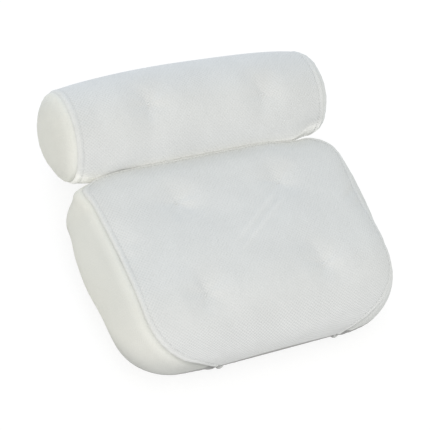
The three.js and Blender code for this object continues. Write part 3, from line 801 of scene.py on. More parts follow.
pad_fine = pad_panels(fine_u, fine_v, fine_t, PAD_ROOM)
pad_places = {
    "top": (fine_v, share_u),
    "gusset_left": (fine_v, fine_t),
    "gusset_right": (fine_v, fine_t),
    "back": (fine_t, share_u),
    "bottom": (fine_v, share_u),
}
for name, panel in pad_fine.items():
    moved = panel.points + read_fine(pad_swell[name], *pad_places[name])
    panel.points = pushed(pressed(moved), PAD_PUSHES)

roll_fine = roll_panels(fine_s, fine_r, fine_angle, ROLL_ROOM)
for name, panel in roll_fine.items():
    rows = share_s if name == "tube" else fine_r
    moved = panel.points + read_fine(roll_swell[name], rows, share_angle, wrapped=True)
    panel.points = pushed(moved, ROLL_PUSHES)


def wave(place, pitch):
    """An uneven ripple along a seam, from -1 to 1."""
    turn = 2 * math.pi * place / pitch
    return sum(np.sin(rate * turn + phase) for rate, phase in RIPPLES) / len(RIPPLES)


def dying(share, end):
    """Rises to 1 at a share of 1, then dies away."""
    return share * np.exp(1 - share) * (share < end)


def seam_relief(distance, place, stitched):
    """Groove of a seam with the cloth rolling over beside it, and the topstitch's line if it has one."""
    relief = RIDGE_HEIGHT * hump(distance - RIDGE_AT, RIDGE_WIDTH) - SEAM_DEPTH * hump(distance, SEAM_WIDTH)
    if stitched:
        relief = relief - STITCH_DEPTH * hump(distance - STITCH_AT, STITCH_WIDTH)
    return relief + PUCKER_HEIGHT * wave(place, PUCKER_PITCH) * dying(distance / PUCKER_REACH, PUCKER_END)


def tuft_relief(away_x, away_y):
    """Pinch of a tuft's stitch and the small folds that run out from it."""
    away = np.hypot(away_x, away_y)
    turn = TUFT_FOLDS * np.arctan2(away_y, away_x) + TUFT_FOLD_TURN
    folds = np.cos(turn) * dying(away / TUFT_FOLD_REACH, TUFT_FOLD_END)
    return TUFT_FOLD * folds - TUFT_PINCH * hump(away, TUFT_PINCH_REACH)


def fold_lines(x, y):
    """Where the two ridges of the fold run, from 0 to 1."""
    run = FOLD_TO - FOLD_FROM
    length = np.hypot(*run)
    along = ((x - FOLD_FROM[0]) * run[0] + (y - FOLD_FROM[1]) * run[1]) / length**2
    across = ((y - FOLD_FROM[1]) * run[0] - (x - FOLD_FROM[0]) * run[1]) / length
    ends = smooth(along / FOLD_FADE) * smooth((1 - along) / FOLD_FADE)
    return ends * (hump(across - FOLD_HALF, FOLD_WIDTH) + hump(across + FOLD_HALF, FOLD_WIDTH))


def from_edges(points, rows=(), columns=()):
    """Distance over the cloth to the nearest of some edges: 0 is the first row or column, -1 the last."""
    down = lengths(points, 0)
    across = lengths(points, 1)
    choices = [np.abs(down - down[row]) for row in rows]
    choices += [np.abs(across - across[:, [column]]) for column in columns]
    return np.minimum.reduce(choices)


def sew(panels, reliefs):
    """Moves the cloth along its own normals, which the panels share at their seams."""
    names = list(panels)
    points, faces, numbers = weld([panels[name] for name in names])
    normals = point_normals(points, faces)
    for name, number in zip(names, numbers):
        panels[name].points = panels[name].points + normals[number] * reliefs[name][..., None]
    points, faces, numbers = weld([panels[name] for name in names])
    normals = point_normals(points, faces)
    return {name: normals[number] for name, number in zip(names, numbers)}


def side_edge_shade(points):
    """Distance from the lower edge of a side, with its shade standing higher towards the front."""
    behind = 1 - smooth((-points[..., 1] - SIDE_SHADE_FROM) / SIDE_SHADE_FADE)
    return from_edges(points, columns=[-1]) + SIDE_SHADE_START + SIDE_SHADE_LIFT * behind


top = pad_fine["top"].points
back = pad_fine["back"].points
bottom = pad_fine["bottom"].points
seam_place = fine_v * lengths(top[:, 0])[-1]
back_place = share_u * lengths(top[0])[-1]
pad_seam = {
    "top": from_edges(top, rows=[0], columns=[0, -1]),
    "back": from_edges(back, rows=[0]),
    "bottom": from_edges(bottom, rows=[0, -1], columns=[0, -1]),
}
# Distances from the lower edges, which set the painted shade and the dark painted shadow line there
pad_edge_shade = {
    "top": from_edges(top, rows=[-1]),
    "back": from_edges(back, rows=[-1]) + SIDE_SHADE_START,
    "bottom": np.zeros(bottom.shape[:2]),
}
pad_relief = {
    "top": seam_relief(pad_seam["top"], seam_place[:, None] + back_place[None, :], True),
    "back": seam_relief(pad_seam["back"], back_place[None, :], False),
    "bottom": np.zeros(bottom.shape[:2]),
}
for name, start in GUSSET_RIPPLES.items():
    side = pad_fine[name].points
    pad_seam[name] = from_edges(side, columns=[0])
    pad_edge_shade[name] = side_edge_shade(side)
    pad_relief[name] = seam_relief(pad_seam[name], seam_place[:, None] + start, False)
pad_relief["top"] += FOLD_HEIGHT * fold_lines(top[..., 0], top[..., 1])
for tuft_x, tuft_y in PAD_TUFTS.values():
    pad_relief["top"] += tuft_relief(top[..., 0] - tuft_x, top[..., 1] - tuft_y)
pad_normals = sew(pad_fine, pad_relief)

tube = roll_fine["tube"].points
rim_place = fine_angle * ROLL_END_RADIUS
roll_seam = {"tube": from_edges(tube, rows=[0, -1])}
roll_relief = {"tube": seam_relief(roll_seam["tube"], rim_place[None, :], True)}
for name, start in CAP_RIPPLES.items():
    roll_seam[name] = from_edges(roll_fine[name].points, rows=[-1])
    roll_relief[name] = seam_relief(roll_seam[name], rim_place[None, :] + start, False)
for tuft_x, tuft_angle in ROLL_TUFTS.values():
    turn = round_distance(fine_angle[None, :], tuft_angle)
    roll_relief["tube"] += tuft_relief(tube[..., 0] - tuft_x, turn)
roll_normals = sew(roll_fine, roll_relief)


# Pieces

PAD_PLACE = np.array([0, BACK, BASE])
ROLL_PLACE = np.array([0, ROLL_AXIS_Y, ROLL_AXIS_Z])


def stored(mesh, name, values):
    """Stores three values with each point of a mesh."""
    layer = mesh.attributes.get(name) or mesh.attributes.new(name, "FLOAT_VECTOR", "POINT")
    layer.data.foreach_set("vector", np.asarray(values, np.float32).ravel())


def openness(seam, tufts, nose):
    """How open the knit shows: most where it is stretched, over nose, seams and tufts."""
    shares = [np.full(seam.shape, OPEN_LEAST), OPEN_SEAM * hump(seam, OPEN_SEAM_REACH),
              OPEN_TUFT * hump(tufts, OPEN_TUFT_REACH), OPEN_NOSE * nose]
    return np.maximum.reduce(shares)


def cloth_piece(name, panel, normals, thickness, place, weave, knit):
    """A closed piece of cloth: the panel's outer face, an inner face and the cut edges between them."""
    outer = panel.points + place
    inner = outer - normals * thickness
    faces = [Panel(outer, panel.flip, panel.wrapped), Panel(inner, not panel.flip, panel.wrapped)]
    last = np.stack([outer[-1], inner[-1]])
    first = np.stack([inner[0], outer[0]])
    edges = [Panel(last, panel.flip, panel.wrapped), Panel(first, panel.flip, panel.wrapped)]
    if not panel.wrapped:
        edges.append(Panel(np.stack([outer[:, -1], inner[:, -1]], 1), panel.flip))
        edges.append(Panel(np.stack([inner[:, 0], outer[:, 0]], 1), panel.flip))
    points, quads, numbers = weld(faces + edges)
    obj = new_object(name, points, quads)
    obj.data.set_sharp_from_angle(angle=SHARP_CLOTH)
    for layer, given in (("weave", weave), ("knit", knit)):
        values = np.zeros((len(points), 3))
        values[numbers[1].ravel()] = given.reshape(-1, 3)
        values[numbers[0].ravel()] = given.reshape(-1, 3)
        stored(obj.data, layer, values)
    return obj


def weave_of(points, seam):
    """Places on a panel, measured over the cloth from its middle."""
    down = lengths(points, 0)
    across = lengths(points, 1)
    middle = across.shape[1] // 2
    return np.stack([across - across[:, middle:middle + 1], down, seam], 2)


def mesh_points(mesh):
    points = np.zeros(len(mesh.vertices) * 3, np.float32)
    mesh.vertices.foreach_get("co", points)
    return points.reshape(-1, 3)


def copy_weave(source, target):
    """Gives each point of a cut mesh the stored values of the nearest point before the cut."""
    before = mesh_points(source)
    rounded = np.round(before, WELD_DIGITS).tolist()
    known = {tuple(point): number for number, point in enumerate(rounded)}
    found = []
    for point in np.round(mesh_points(target), WELD_DIGITS):
        number = known.get(tuple(point.tolist()))
        if number is None:
            number = int(np.argmin(((before - point) ** 2).sum(1)))
        found.append(number)
    for layer in ("weave", "knit"):
        if layer in source.attributes:
            values = np.zeros(len(before) * 3, np.float32)
            source.attributes[layer].data.foreach_get("vector", values)
            stored(target, layer, values.reshape(-1, 3)[found])


def bored(obj, places, radius, low, high):
    """Cuts round holes that stand on end through a piece."""
    number = np.arange(LATHE_SIDES)
    following = (number + 1) % LATHE_SIDES
    angles = round_angles(LATHE_SIDES)
    points = []
    faces = []
    for x, y in places:
        start = len(points)
        for z in (low, high):
            points += [(x + radius * math.cos(a), y + radius * math.sin(a), z) for a in angles]
        walls = np.stack([number, following, following + LATHE_SIDES, number + LATHE_SIDES], 1) + start
        faces += walls.tolist()
        faces.append((number[::-1] + start).tolist())
        faces.append((number + LATHE_SIDES + start).tolist())
    mesh = bpy.data.meshes.new("bores")
    mesh.from_pydata(points, [], faces)
    cutter = linked("bores", mesh)
    cut = obj.modifiers.new("bores", "BOOLEAN")
    cut.operation = "DIFFERENCE"
    cut.solver = "EXACT"
    cut.object = cutter
    evaluated = obj.evaluated_get(bpy.context.evaluated_depsgraph_get())
    result = bpy.data.meshes.new_from_object(evaluated)
    obj.modifiers.remove(cut)
    copy_weave(obj.data, result)
    obj.data = result
    bpy.data.objects.remove(cutter)


def cup_places(names):
    boxes = [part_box(f"suction_cup_{name}") for name in names]
    return [((low.x + high.x) / 2, (low.y + high.y) / 2) for low, high in boxes]


PAD_CUPS = ["back_left", "back_right", "front_left", "front_right"]
ROLL_CUPS = ["roll_left", "roll_right"]


def wall_light(places):
    """Light on the right-hand wall of each tuft's dimple."""
    walls = [hump(np.hypot(x - TUFT_WALL, y), TUFT_WALL_REACH) for x, y in places]
    return TUFT_LIGHT * np.maximum.reduce(walls)


pad_pieces = {}
for name, panel in pad_fine.items():
    weave = weave_of(panel.points, pad_seam[name])
    x, y, z = np.moveaxis(panel.points, -1, 0)
    places = [(x - tuft_x, y - tuft_y) for tuft_x, tuft_y in PAD_TUFTS.values()]
    tufts = np.minimum.reduce([np.hypot(*place) for place in places])
    nose = smooth((-y - OPEN_NOSE_FROM) / OPEN_NOSE_REACH) * (name == "top")
    # Painted light, in the knit's third value: over the back panel's upper part and along the top's back
    # edge, where they face the roll across the crevice, on the fold's ridges and on one wall of each tuft's
    # dimple
    light = smooth((z - PAINTED_LIGHT_LOW) / PAINTED_LIGHT_RISE) * (name == "back")
    if name == "top":
        back_edge_light = PAINTED_LIGHT_EDGE * hump(lengths(panel.points, 0), PAINTED_LIGHT_REACH)
        light = np.maximum.reduce([FOLD_LIGHT * fold_lines(x, y), back_edge_light, wall_light(places)])
    # The knit holds how open the mesh shows, the distance that sets the painted shade and dark painted line
    # along the lower edge, and the share of painted light
    knit = np.stack([openness(pad_seam[name], tufts, nose), pad_edge_shade[name], light], 2)
    cover = f"pad_{name}_cover"
    pad_pieces[name] = cloth_piece(cover, panel, pad_normals[name], COVER, PAD_PLACE, weave, knit)

roll_pieces = {}
for name, panel in roll_fine.items():
    x, y, z = np.moveaxis(panel.points, -1, 0)
    if name == "tube":
        turn = np.broadcast_to(fine_angle[None, :], x.shape)
        weave = np.stack([lengths(panel.points, 0), turn * ROLL_RADIUS, roll_seam[name]], 2)
        places = [(x - tuft_x, round_distance(turn, angle)) for tuft_x, angle in ROLL_TUFTS.values()]
        tufts = np.minimum.reduce([np.hypot(*place) for place in places])
        # Painted light on the underside of the tube, where it faces the pad across the crevice
        start = PAINTED_LIGHT_FROM + PAINTED_LIGHT_TURN * smooth((-x - PAINTED_LIGHT_TURN_FROM) / PAINTED_LIGHT_TURN_REACH)
        facing = smooth((turn - start) / PAINTED_LIGHT_FADE) * smooth((PAINTED_LIGHT_TO - turn) / PAINTED_LIGHT_FADE)
        light = np.maximum(facing, wall_light(places))
    else:
        weave = np.stack([y, z, roll_seam[name]], 2)
        tufts = np.full(x.shape, ROLL_RADIUS)
        light = np.zeros(x.shape)
    edge_shade = np.full(x.shape, ROLL_RADIUS)
    knit = np.stack([openness(roll_seam[name], tufts, np.zeros(x.shape)), edge_shade, light], 2)
    cover = f"roll_{name}_cover"
    roll_pieces[name] = cloth_piece(cover, panel, roll_normals[name], COVER, ROLL_PLACE, weave, knit)

bored(pad_pieces["bottom"], cup_places(PAD_CUPS), HOLE_RADIUS, BASE - COVER, BASE + 2 * COVER)
bored(roll_pieces["tube"], cup_places(ROLL_CUPS), HOLE_RADIUS, BASE - COVER, BASE + 2 * COVER)


# Foam inside the covers

def foam_piece(name, panels, place):
    points, faces, _ = weld(list(panels.values()))
    inset = points - point_normals(points, faces) * (COVER + FOAM_GAP)
    obj = new_object(name, inset + place, faces)
    stored(obj.data, "weave", inset)
    return obj


def swollen(coarse, shift, pushes):
    whole = {}
    for name, panel in coarse.items():
        whole[name] = Panel(pushed(panel.points + shift[name], pushes), panel.flip, panel.wrapped)
    return whole


pad_foam = foam_piece("pad_foam_block", swollen(pad_coarse, pad_swell, PAD_PUSHES), PAD_PLACE)
roll_foam = foam_piece("roll_foam_block", swollen(roll_coarse, roll_swell, ROLL_PUSHES), ROLL_PLACE)
HEAD_TOP = CUP_NECK_TOP + CUP_HEAD_HEIGHT + HEAD_ROOM
bored(pad_foam, cup_places(PAD_CUPS), CUP_HEAD + HEAD_ROOM, BASE, HEAD_TOP)
bored(roll_foam, cup_places(ROLL_CUPS), CUP_HEAD + HEAD_ROOM, BASE, HEAD_TOP)


# Thread: stitches and ties

def tube_mesh(path, radii, sides):
    """Points and faces of a round tube along a path, closed at both ends."""
    path = np.asarray(path)
    radii = np.broadcast_to(radii, (len(path),))
    ahead = unit(np.gradient(path, axis=0))
    aside = np.where(np.abs(ahead[:, 2:]) > STEEP, [[1.0, 0, 0]], [[0, 0, 1.0]])
    first = unit(np.cross(ahead, aside))[:, None]
    second = np.cross(ahead[:, None], first)
    angles = round_angles(sides)[None, :, None]
    ring = first * np.cos(angles) + second * np.sin(angles)
    points = path[:, None] + ring * radii[:, None, None]
    ends = np.repeat(path[[0, -1], None], sides, 1)
    closed = np.concatenate([ends[:1], points, ends[1:]])
    points, faces, _ = weld([Panel(closed, flip=True, wrapped=True)])
    # A face's first corner sets which way it is split: here ahead and round, with the turn
    return points, np.roll(faces, 1, axis=1)


def round_ended(at, least):
    """Radius of a ball's profile from -1 to 1, kept from closing to nothing."""
    return np.sqrt(np.maximum(1 - at**2, least))


def joined(name, tubes):
    points = []
    faces = []
    start = 0
    for tube_points, tube_faces in tubes:
        points.append(tube_points)
        faces.append(tube_faces + start)
        start += len(tube_points)
    obj = new_object(name, np.concatenate(points), np.concatenate(faces))
    stored(obj.data, "weave", np.concatenate(points))
    return obj


def row_at(values, distance, want):
    """Values of each row where its distance reaches the wanted one."""
    return np.array([read_at(want, along, row) for row, along in zip(values, distance)])


def stitches(line, normals, closed=False):
    """Short stitches along a line on the cloth, each lying in it and dipping at its ends."""
    if closed:
        line = np.concatenate([line, line[:1]])
        normals = np.concatenate([normals, normals[:1]])
    place = lengths(line)
    tubes = []
    for start in np.arange(0, place[-1] - STITCH_LENGTH, STITCH_PITCH):
        at = start + np.linspace(0, STITCH_LENGTH, len(STITCH_BEND))
        path = read_at(at, place, line) + unit(read_at(at, place, normals)) * STITCH_BEND[:, None]
        tubes.append(tube_mesh(path, STITCH_RADIUS * STITCH_TAPER, STITCH_SIDES))
    return tubes


def topstitch(name, views, closed=False):
    """Thread beside the first column of each view, which is a panel's points and their normals."""
    tubes = []
    for rows, directions in views:
        distance = lengths(rows, 1)
        line = row_at(rows, distance, STITCH_AT)
        tubes += stitches(line, row_at(directions, distance, STITCH_AT), closed)
    return joined(name, tubes)


sides = slice(np.searchsorted(seam_place, STITCH_AT), np.searchsorted(fine_v, STITCH_END))
ends = (back_place > STITCH_AT) & (back_place < back_place[-1] - STITCH_AT)
top_grids = [pad_fine["top"].points + PAD_PLACE, pad_normals["top"]]
pad_views = [
    [grid[sides] for grid in top_grids],
    [grid[sides, ::-1] for grid in top_grids],
    [np.swapaxes(grid, 0, 1)[ends] for grid in top_grids],
]
pad_stitches = topstitch("pad_topstitch_thread", pad_views)
tube_grids = [roll_fine["tube"].points + ROLL_PLACE, roll_normals["tube"]]
tube_grids = [np.swapaxes(grid, 0, 1) for grid in tube_grids]
roll_views = [tube_grids, [grid[:, ::-1] for grid in tube_grids]]
roll_stitches = topstitch("roll_topstitch_thread", roll_views, closed=True)


def nearest(points, target):
    index = np.argmin(np.linalg.norm(points - target, axis=-1))
    return np.unravel_index(index, points.shape[:2])


def tuft_bar(point, normal, along):
    """The short stitch that holds a tuft down."""
    along = unit(along - normal * np.dot(along, normal))
    at = np.linspace(-0.5, 0.5, TUFT_BAR_STEPS)[:, None]
    path = point + along * (at * TUFT_BAR) + normal * (TUFT_BAR_RADIUS * (1 - TUFT_BAR_BOW * at**2))
    return tube_mesh(path, TUFT_BAR_RADIUS, PLY_SIDES)


def tuft_threads(name, panel, normals, place, spots):
    """The stitches of a panel's tufts. Notes where each tuft's tie ends under the cloth."""
    bars = []
    for tie, spot in spots.items():
        point = panel.points[spot] + place
        tie_ends[tie] = point - normals[spot] * COVER
        bars.append(tuft_bar(point, normals[spot], TUFT_RUN))
    return joined(name, bars)


tie_ends = {}
pad_spots = {}
for name, place in PAD_TUFTS.items():
    pad_spots[f"pad_tie_{name}"] = nearest(pad_fine["top"].points[..., :2], np.array(place))
roll_spots = {}
for name, (tuft_x, tuft_angle) in ROLL_TUFTS.items():
    row = np.argmin(np.abs(fine_s * ROLL_HALF - tuft_x))
    roll_spots[f"roll_tie_{name}"] = row, np.argmin(np.abs(fine_angle - tuft_angle))
pad_bars = tuft_threads("pad_tuft_thread", pad_fine["top"], pad_normals["top"], PAD_PLACE, pad_spots)
tube_panel = roll_fine["tube"]
roll_bars = tuft_threads("roll_tuft_thread", tube_panel, roll_normals["tube"], ROLL_PLACE, roll_spots)


def rod_foot(node):
    """Middle of the lower end of a straight CAD rod."""
    points = np.array([v.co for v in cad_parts[node].data.vertices])
    middle = points.mean(0)
    direction = np.linalg.svd(points - middle)[2][0]
    along = (points - middle) @ direction
    ends = [middle + direction * along.min(), middle + direction * along.max()]
    return min(ends, key=lambda end: end[2])


def tie_piece(name, node):
    """A stay of two twisted plies with a knot at each end, from its foot up to its tuft."""
    low = rod_foot(node)
    high = tie_ends[node]
    ahead = unit(high - low)
    first = unit(np.cross(ahead, [0.0, 1.0, 0.0]))
    second = np.cross(ahead, first)
    share = np.linspace(0, 1, PLY_STEPS)[:, None]
    turn = share * PLY_TURNS * 2 * math.pi
    tubes = []
    for phase in (0, math.pi):
        coil = first * np.cos(turn + phase) + second * np.sin(turn + phase)
        tubes.append(tube_mesh(low + (high - low) * share + coil * PLY_RADIUS, PLY_RADIUS, PLY_SIDES))
    at = np.linspace(-1, 1, KNOT_STEPS)
    for end, inward in ((low, ahead), (high, -ahead)):
        path = end + inward * (KNOT_RADIUS * (1 + at))[:, None]
        tubes.append(tube_mesh(path, KNOT_RADIUS * round_ended(at, KNOT_END), KNOT_SIDES))
    return joined(name, tubes)


tie_pieces = {node: tie_piece(f"{node}_thread", node) for node in tie_ends}


# Tabs: the folded ends of the boxing, at the front edge

TAB_LIGHT = 0.0012
TAB_BOW = 0.25
TAB_DROP = 0.35
TAB_THICKNESS = 0.6
TAB_END = 0.02
TAB_STEPS = 13
TABS = {
    "left": ((-0.0660, -0.2178, 0.0006), 0.0044),
    "right": ((0.0775, -0.2178, 0.0004), 0.0043),
}


def tab_piece(name, place, size):
    """A small rounded flap of cloth that hangs a little under the edge."""
    at = np.linspace(-1, 1, TAB_STEPS)
    run = np.stack([at, -TAB_BOW * (1 - at**2), -TAB_DROP * (1 - at)], 1) * size
    radii = TAB_THICKNESS * size * round_ended(at, TAB_END)
    points, faces = tube_mesh(np.array(place) + PAD_PLACE + run, radii, KNOT_SIDES)
    obj = new_object(name, points, faces)
    stored(obj.data, "weave", points - PAD_PLACE)
    above = points[:, 2] - place[2] - PAD_PLACE[2]
    plain = np.zeros(len(points))
    # The tab's colour is painted darker towards its bottom, with the same painted shade as the pad's lower
    # edge
    stored(obj.data, "knit", np.stack([plain + OPEN_LEAST, EDGE_SHADOW_WIDTH + TAB_LIGHT + above, plain], 1))
    return obj


tab_pieces = [tab_piece(f"pad_tab_{name}_cloth", place, size) for name, (place, size) in TABS.items()]


# Round pieces: cups and patches

def lathe(name, profile, x, y, base):
    """A round piece from (radius, height) pairs, standing at x, y on its base."""
    radius, height = np.array(profile).T[..., None]
    angles = round_angles(LATHE_SIDES)
    place = np.array([x, y, base])
    rings = np.stack(np.broadcast_arrays(radius * np.cos(angles), radius * np.sin(angles), height), 2)
    welded, faces, _ = weld([Panel(rings + place, flip=False, wrapped=True)])
    obj = new_object(name, welded, faces)
    obj.data.set_sharp_from_angle(angle=SHARP_ROUND)
    stored(obj.data, "weave", welded - place)
    return obj


def cup_profile():
    """Hollow, lip, bell, neck and button head of a suction cup."""
    turn = np.linspace(0, math.pi / 2, CUP_STEPS)
    inner = CUP_LIP - CUP_LIP_WIDTH
    profile = [(inner * math.sin(a), CUP_HOLLOW * math.cos(a)) for a in turn]
    for a in turn[::CUP_LIP_STRIDE]:
        profile.append((CUP_LIP - CUP_LIP_EDGE * (1 - math.sin(a)), CUP_LIP_EDGE * (1 - math.cos(a))))
    for a in turn:
        height = lerp(CUP_LIP_EDGE, CUP_HEIGHT, math.sin(a))
        profile.append((lerp(CUP_SHOULDER, CUP_LIP, math.cos(a)), height))
    profile += [(CUP_NECK, CUP_HEIGHT), (CUP_NECK, CUP_NECK_TOP), (CUP_HEAD, CUP_NECK_TOP)]
    for a in turn[::CUP_HEAD_STRIDE]:
        height = CUP_NECK_TOP + CUP_HEAD_HEIGHT * math.sin(a)
        profile.append((lerp(CUP_HEAD_TOP, CUP_HEAD, math.cos(a)), height))
    profile.append((0, CUP_NECK_TOP + CUP_HEAD_HEIGHT))
    return profile


def patch_profile(thickness):
    turn = np.linspace(-math.pi / 2, math.pi / 2, PATCH_EDGE_STEPS)
    half = thickness / 2
    edge = [(PATCH_RADIUS - half + half * math.cos(a), half + half * math.sin(a)) for a in turn]
    rings = np.linspace(HOLE_RADIUS, PATCH_RADIUS - half, PATCH_RINGS)
    low = [(r, 0) for r in rings[:-1]]
    high = [(r, thickness) for r in rings[::-1][1:]]
    return low + edge + high + [(HOLE_RADIUS, 0)]


cups = {}
patches = {}
for name, (x, y) in zip(PAD_CUPS + ROLL_CUPS, cup_places(PAD_CUPS + ROLL_CUPS)):
    cups[name] = lathe(f"cup_{name}_vinyl", cup_profile(), x, y, 0)
    low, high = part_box(f"cup_patch_{name}")
    patches[name] = lathe(f"cup_{name}_webbing", patch_profile(high.z - low.z), x, y, low.z)


# Hinge strip: sewn to the pad's back and to the roll, with a slack loop between

def sample(points, row, column):
    """A panel's point at a share of its rows and columns."""
    last = np.array(points.shape[:2]) - 1
    i, j = np.clip(np.array([row, column]) * last, 0, last - TINY)
    i0 = int(i)
    j0 = int(j)
    low = lerp(points[i0, j0], points[i0, j0 + 1], j - j0)
    high = lerp(points[i0 + 1, j0], points[i0 + 1, j0 + 1], j - j0)
    return lerp(low, high, i - i0)


def strip_path(x):
    """Outer line of the strip's section, from the pad's back wall to the roll."""
    back_half = pad_fine["back"].points[0, -1, 0]
    column = np.interp(x / back_half, fine_u, np.linspace(0, 1, len(fine_u)))
    wall = []
    for height in np.linspace(STRIP_WALL_TOP, STRIP_WALL_LOW, STRIP_SEWN_STEPS):
        row = np.interp(1 - height / GUSSET_HEIGHT, fine_t, np.linspace(0, 1, len(fine_t)))
        wall.append(sample(pad_fine["back"].points, row, column)[1:] + np.array([STRIP_SEAT, 0]))
    wall = np.array(wall) + PAD_PLACE[1:]
    seat = roll_radius(np.array(x)) + STRIP_SEAT
    angles = np.linspace(STRIP_ROLL_LOW, STRIP_ROLL_TOP, STRIP_SEWN_STEPS)
    onto = np.stack([-seat * np.cos(angles), -seat * np.sin(angles)], 1) + ROLL_PLACE[1:]
    t = np.linspace(0, 1, STRIP_LOOP_STEPS)[1:-1, None]
    low = BASE + STRIP_SAG
    first = np.array([wall[-1, 0], low])
    second = onto[0] + np.array([-STRIP_EASE, low - onto[0, 1]]) / 2
    loop = (1 - t)**3 * wall[-1] + 3 * (1 - t)**2 * t * first + 3 * (1 - t) * t**2 * second + t**3 * onto[0]
    return np.concatenate([wall, loop, onto])


strip_x = np.linspace(-STRIP_LENGTH / 2, STRIP_LENGTH / 2, STRIP_STEPS)
strip_points = np.array([[(x, y, z) for y, z in strip_path(x)] for x in strip_x])
strip_panel = Panel(strip_points, flip=True)
strip_mesh_points, strip_faces, strip_numbers = weld([strip_panel])
strip_normals = point_normals(strip_mesh_points, strip_faces)[strip_numbers[0]]
strip_down = lengths(strip_points, 1)
strip_along = np.broadcast_to(strip_x[:, None], strip_down.shape)
strip_weave = np.stack([strip_along, strip_down, strip_down], 2)
strip = cloth_piece("hinge_strip_cloth", strip_panel, strip_normals, -STRIP_THICKNESS, np.zeros(3),
                    strip_weave, np.zeros(strip_weave.shape))


# Materials

def new_material(name):
    material = bpy.data.materials.new(name)
    material.use_nodes = True
    tree = material.node_tree
    return material, tree, tree.nodes["Principled BSDF"]


def feed(tree, made, inputs):
    """Links or sets the inputs of a node."""
    for key, value in inputs.items():
        if isinstance(value, bpy.types.NodeSocket):
            tree.links.new(value, made.inputs[key])
        else:
            made.inputs[key].default_value = value


def node(tree, kind, inputs=None, **settings):
    made = tree.nodes.new(kind)
    for key, value in settings.items():
        setattr(made, key, value)
    feed(tree, made, inputs or {})
    return made


def math_node(tree, operation, a, b=0.0):
    return node(tree, "ShaderNodeMath", {0: a, 1: b}, operation=operation).outputs[0]


def ramp(tree, value, low, high, to_low, to_high):
    inputs = {"Value": value, "From Min": low, "From Max": high, "To Min": to_low, "To Max": to_high}
    return node(tree, "ShaderNodeMapRange", inputs, interpolation_type="SMOOTHSTEP").outputs["Result"]


def mixed(tree, factor, a, b):
    """Mixes two colours, which are the Mix node's sockets 6 and 7."""
    a, b = (side if isinstance(side, bpy.types.NodeSocket) else (*side, 1) for side in (a, b))
    return node(tree, "ShaderNodeMix", {0: factor, 6: a, 7: b}, data_type="RGBA").outputs[2]


def noise(tree, vector, scale, detail=2):
    return node(tree, "ShaderNodeTexNoise", {"Vector": vector, "Scale": scale, "Detail": detail}).outputs[0]


def spread(tree, value, low, high):
    """The middle range of a noise, spread between two values."""
    return ramp(tree, value, NOISE_LOW, NOISE_HIGH, low, high)


def lattice(tree, kind, x, y, pitch):
    """Waves across and along the cloth, multiplied."""
    turns = [math_node(tree, "MULTIPLY", axis, 2 * math.pi / pitch) for axis in (x, y)]
    return math_node(tree, "MULTIPLY", *(math_node(tree, kind, turn) for turn in turns))


def bumped(tree, height, depth):
    inputs = {"Height": height, "Distance": depth, "Strength": BUMP_STRENGTH}
    return node(tree, "ShaderNodeBump", inputs).outputs[0]


def weave_axes(tree):
    attribute = node(tree, "ShaderNodeAttribute", attribute_name="weave")
    split = node(tree, "ShaderNodeSeparateXYZ", {0: attribute.outputs["Vector"]})
    return attribute.outputs["Vector"], split.outputs[0], split.outputs[1], split.outputs[2]


def mesh_material(name, thread, hole, edge, line, pitch, depth, highlight_band, stitched, shaded):
    """Knitted air mesh: a lattice of small holes, with painted highlight beside the seams, painted shade in
    the seam and stitch lines and above the lower edge, a dark painted shadow line at that edge, and painted
    light that also glows faintly.
    """
    material, tree, shader = new_material(name)
    vector, x, y, seam = weave_axes(tree)
    holes = ramp(tree, lattice(tree, "COSINE", x, y, pitch), HOLE_LOW, HOLE_HIGH, 0.0, 1.0)
    knit = noise(tree, vector, KNIT_SCALE)
    drift = noise(tree, vector, DRIFT_SCALE)
    attribute = node(tree, "ShaderNodeAttribute", attribute_name="knit")
    opened, edge_shade, light = node(tree, "ShaderNodeSeparateXYZ", {0: attribute.outputs["Vector"]}).outputs
    beside = math_node(tree, "ABSOLUTE", math_node(tree, "SUBTRACT", seam, STITCH_AT))
    # Colour layers over the thread: the holes, a painted highlight beside the seams, painted light, painted
    # shade in the seam's groove and along the stitch line, painted shade rising above the lower edge, and a
    # dark painted shadow line at that edge
    layers = [
        (math_node(tree, "MULTIPLY", holes, opened), hole),
        (ramp(tree, seam, highlight_band * HIGHLIGHT_BAND_FULL, highlight_band, HIGHLIGHT_SHARE, 0.0), edge),
        (light, PAINTED_LIGHT),
        (ramp(tree, seam, SEAM_LINE_CORE, SEAM_LINE_REACH, SEAM_LINE_SHARE, 0.0), line),
        (ramp(tree, beside, STITCH_LINE_CORE, STITCH_LINE_REACH, stitched, 0.0), line),
        (ramp(tree, edge_shade, EDGE_SHADOW_WIDTH, EDGE_SHADE_REACH, shaded, 0.0), line),
        (ramp(tree, edge_shade, EDGE_SHADOW_WIDTH - EDGE_SHADOW_BLUR, EDGE_SHADOW_WIDTH + EDGE_SHADOW_BLUR, 1.0, 0.0), PAINTED_EDGE_SHADOW),
    ]
    colour = thread
    for share, over in layers:
        colour = mixed(tree, share, colour, over)
    swings = [spread(tree, value, 1 - SHADE_SWING, 1 + SHADE_SWING) for value in (drift, knit)]
    level = math_node(tree, "MULTIPLY", *swings)
    scaled = node(tree, "ShaderNodeVectorMath", {0: colour, "Scale": level}, operation="SCALE")
    height = math_node(tree, "SUBTRACT", math_node(tree, "MULTIPLY", knit, KNIT_RELIEF), holes)
    feed(tree, shader, {
        "Base Color": scaled.outputs[0],
        "Normal": bumped(tree, height, depth),
        "Roughness": ramp(tree, holes, 0.0, 1.0, THREAD_ROUGHNESS, HOLE_ROUGHNESS),
        # Where painted light is strongest the cloth also glows faintly, though it is no lamp
        "Emission Strength": ramp(tree, light, PAINTED_GLOW_FROM, 1.0, 0.0, PAINTED_GLOW),
        "Emission Color": (*PAINTED_LIGHT, 1),
        "Specular IOR Level": 0.2,
        "Sheen Weight": 0.1,
    })
    return material


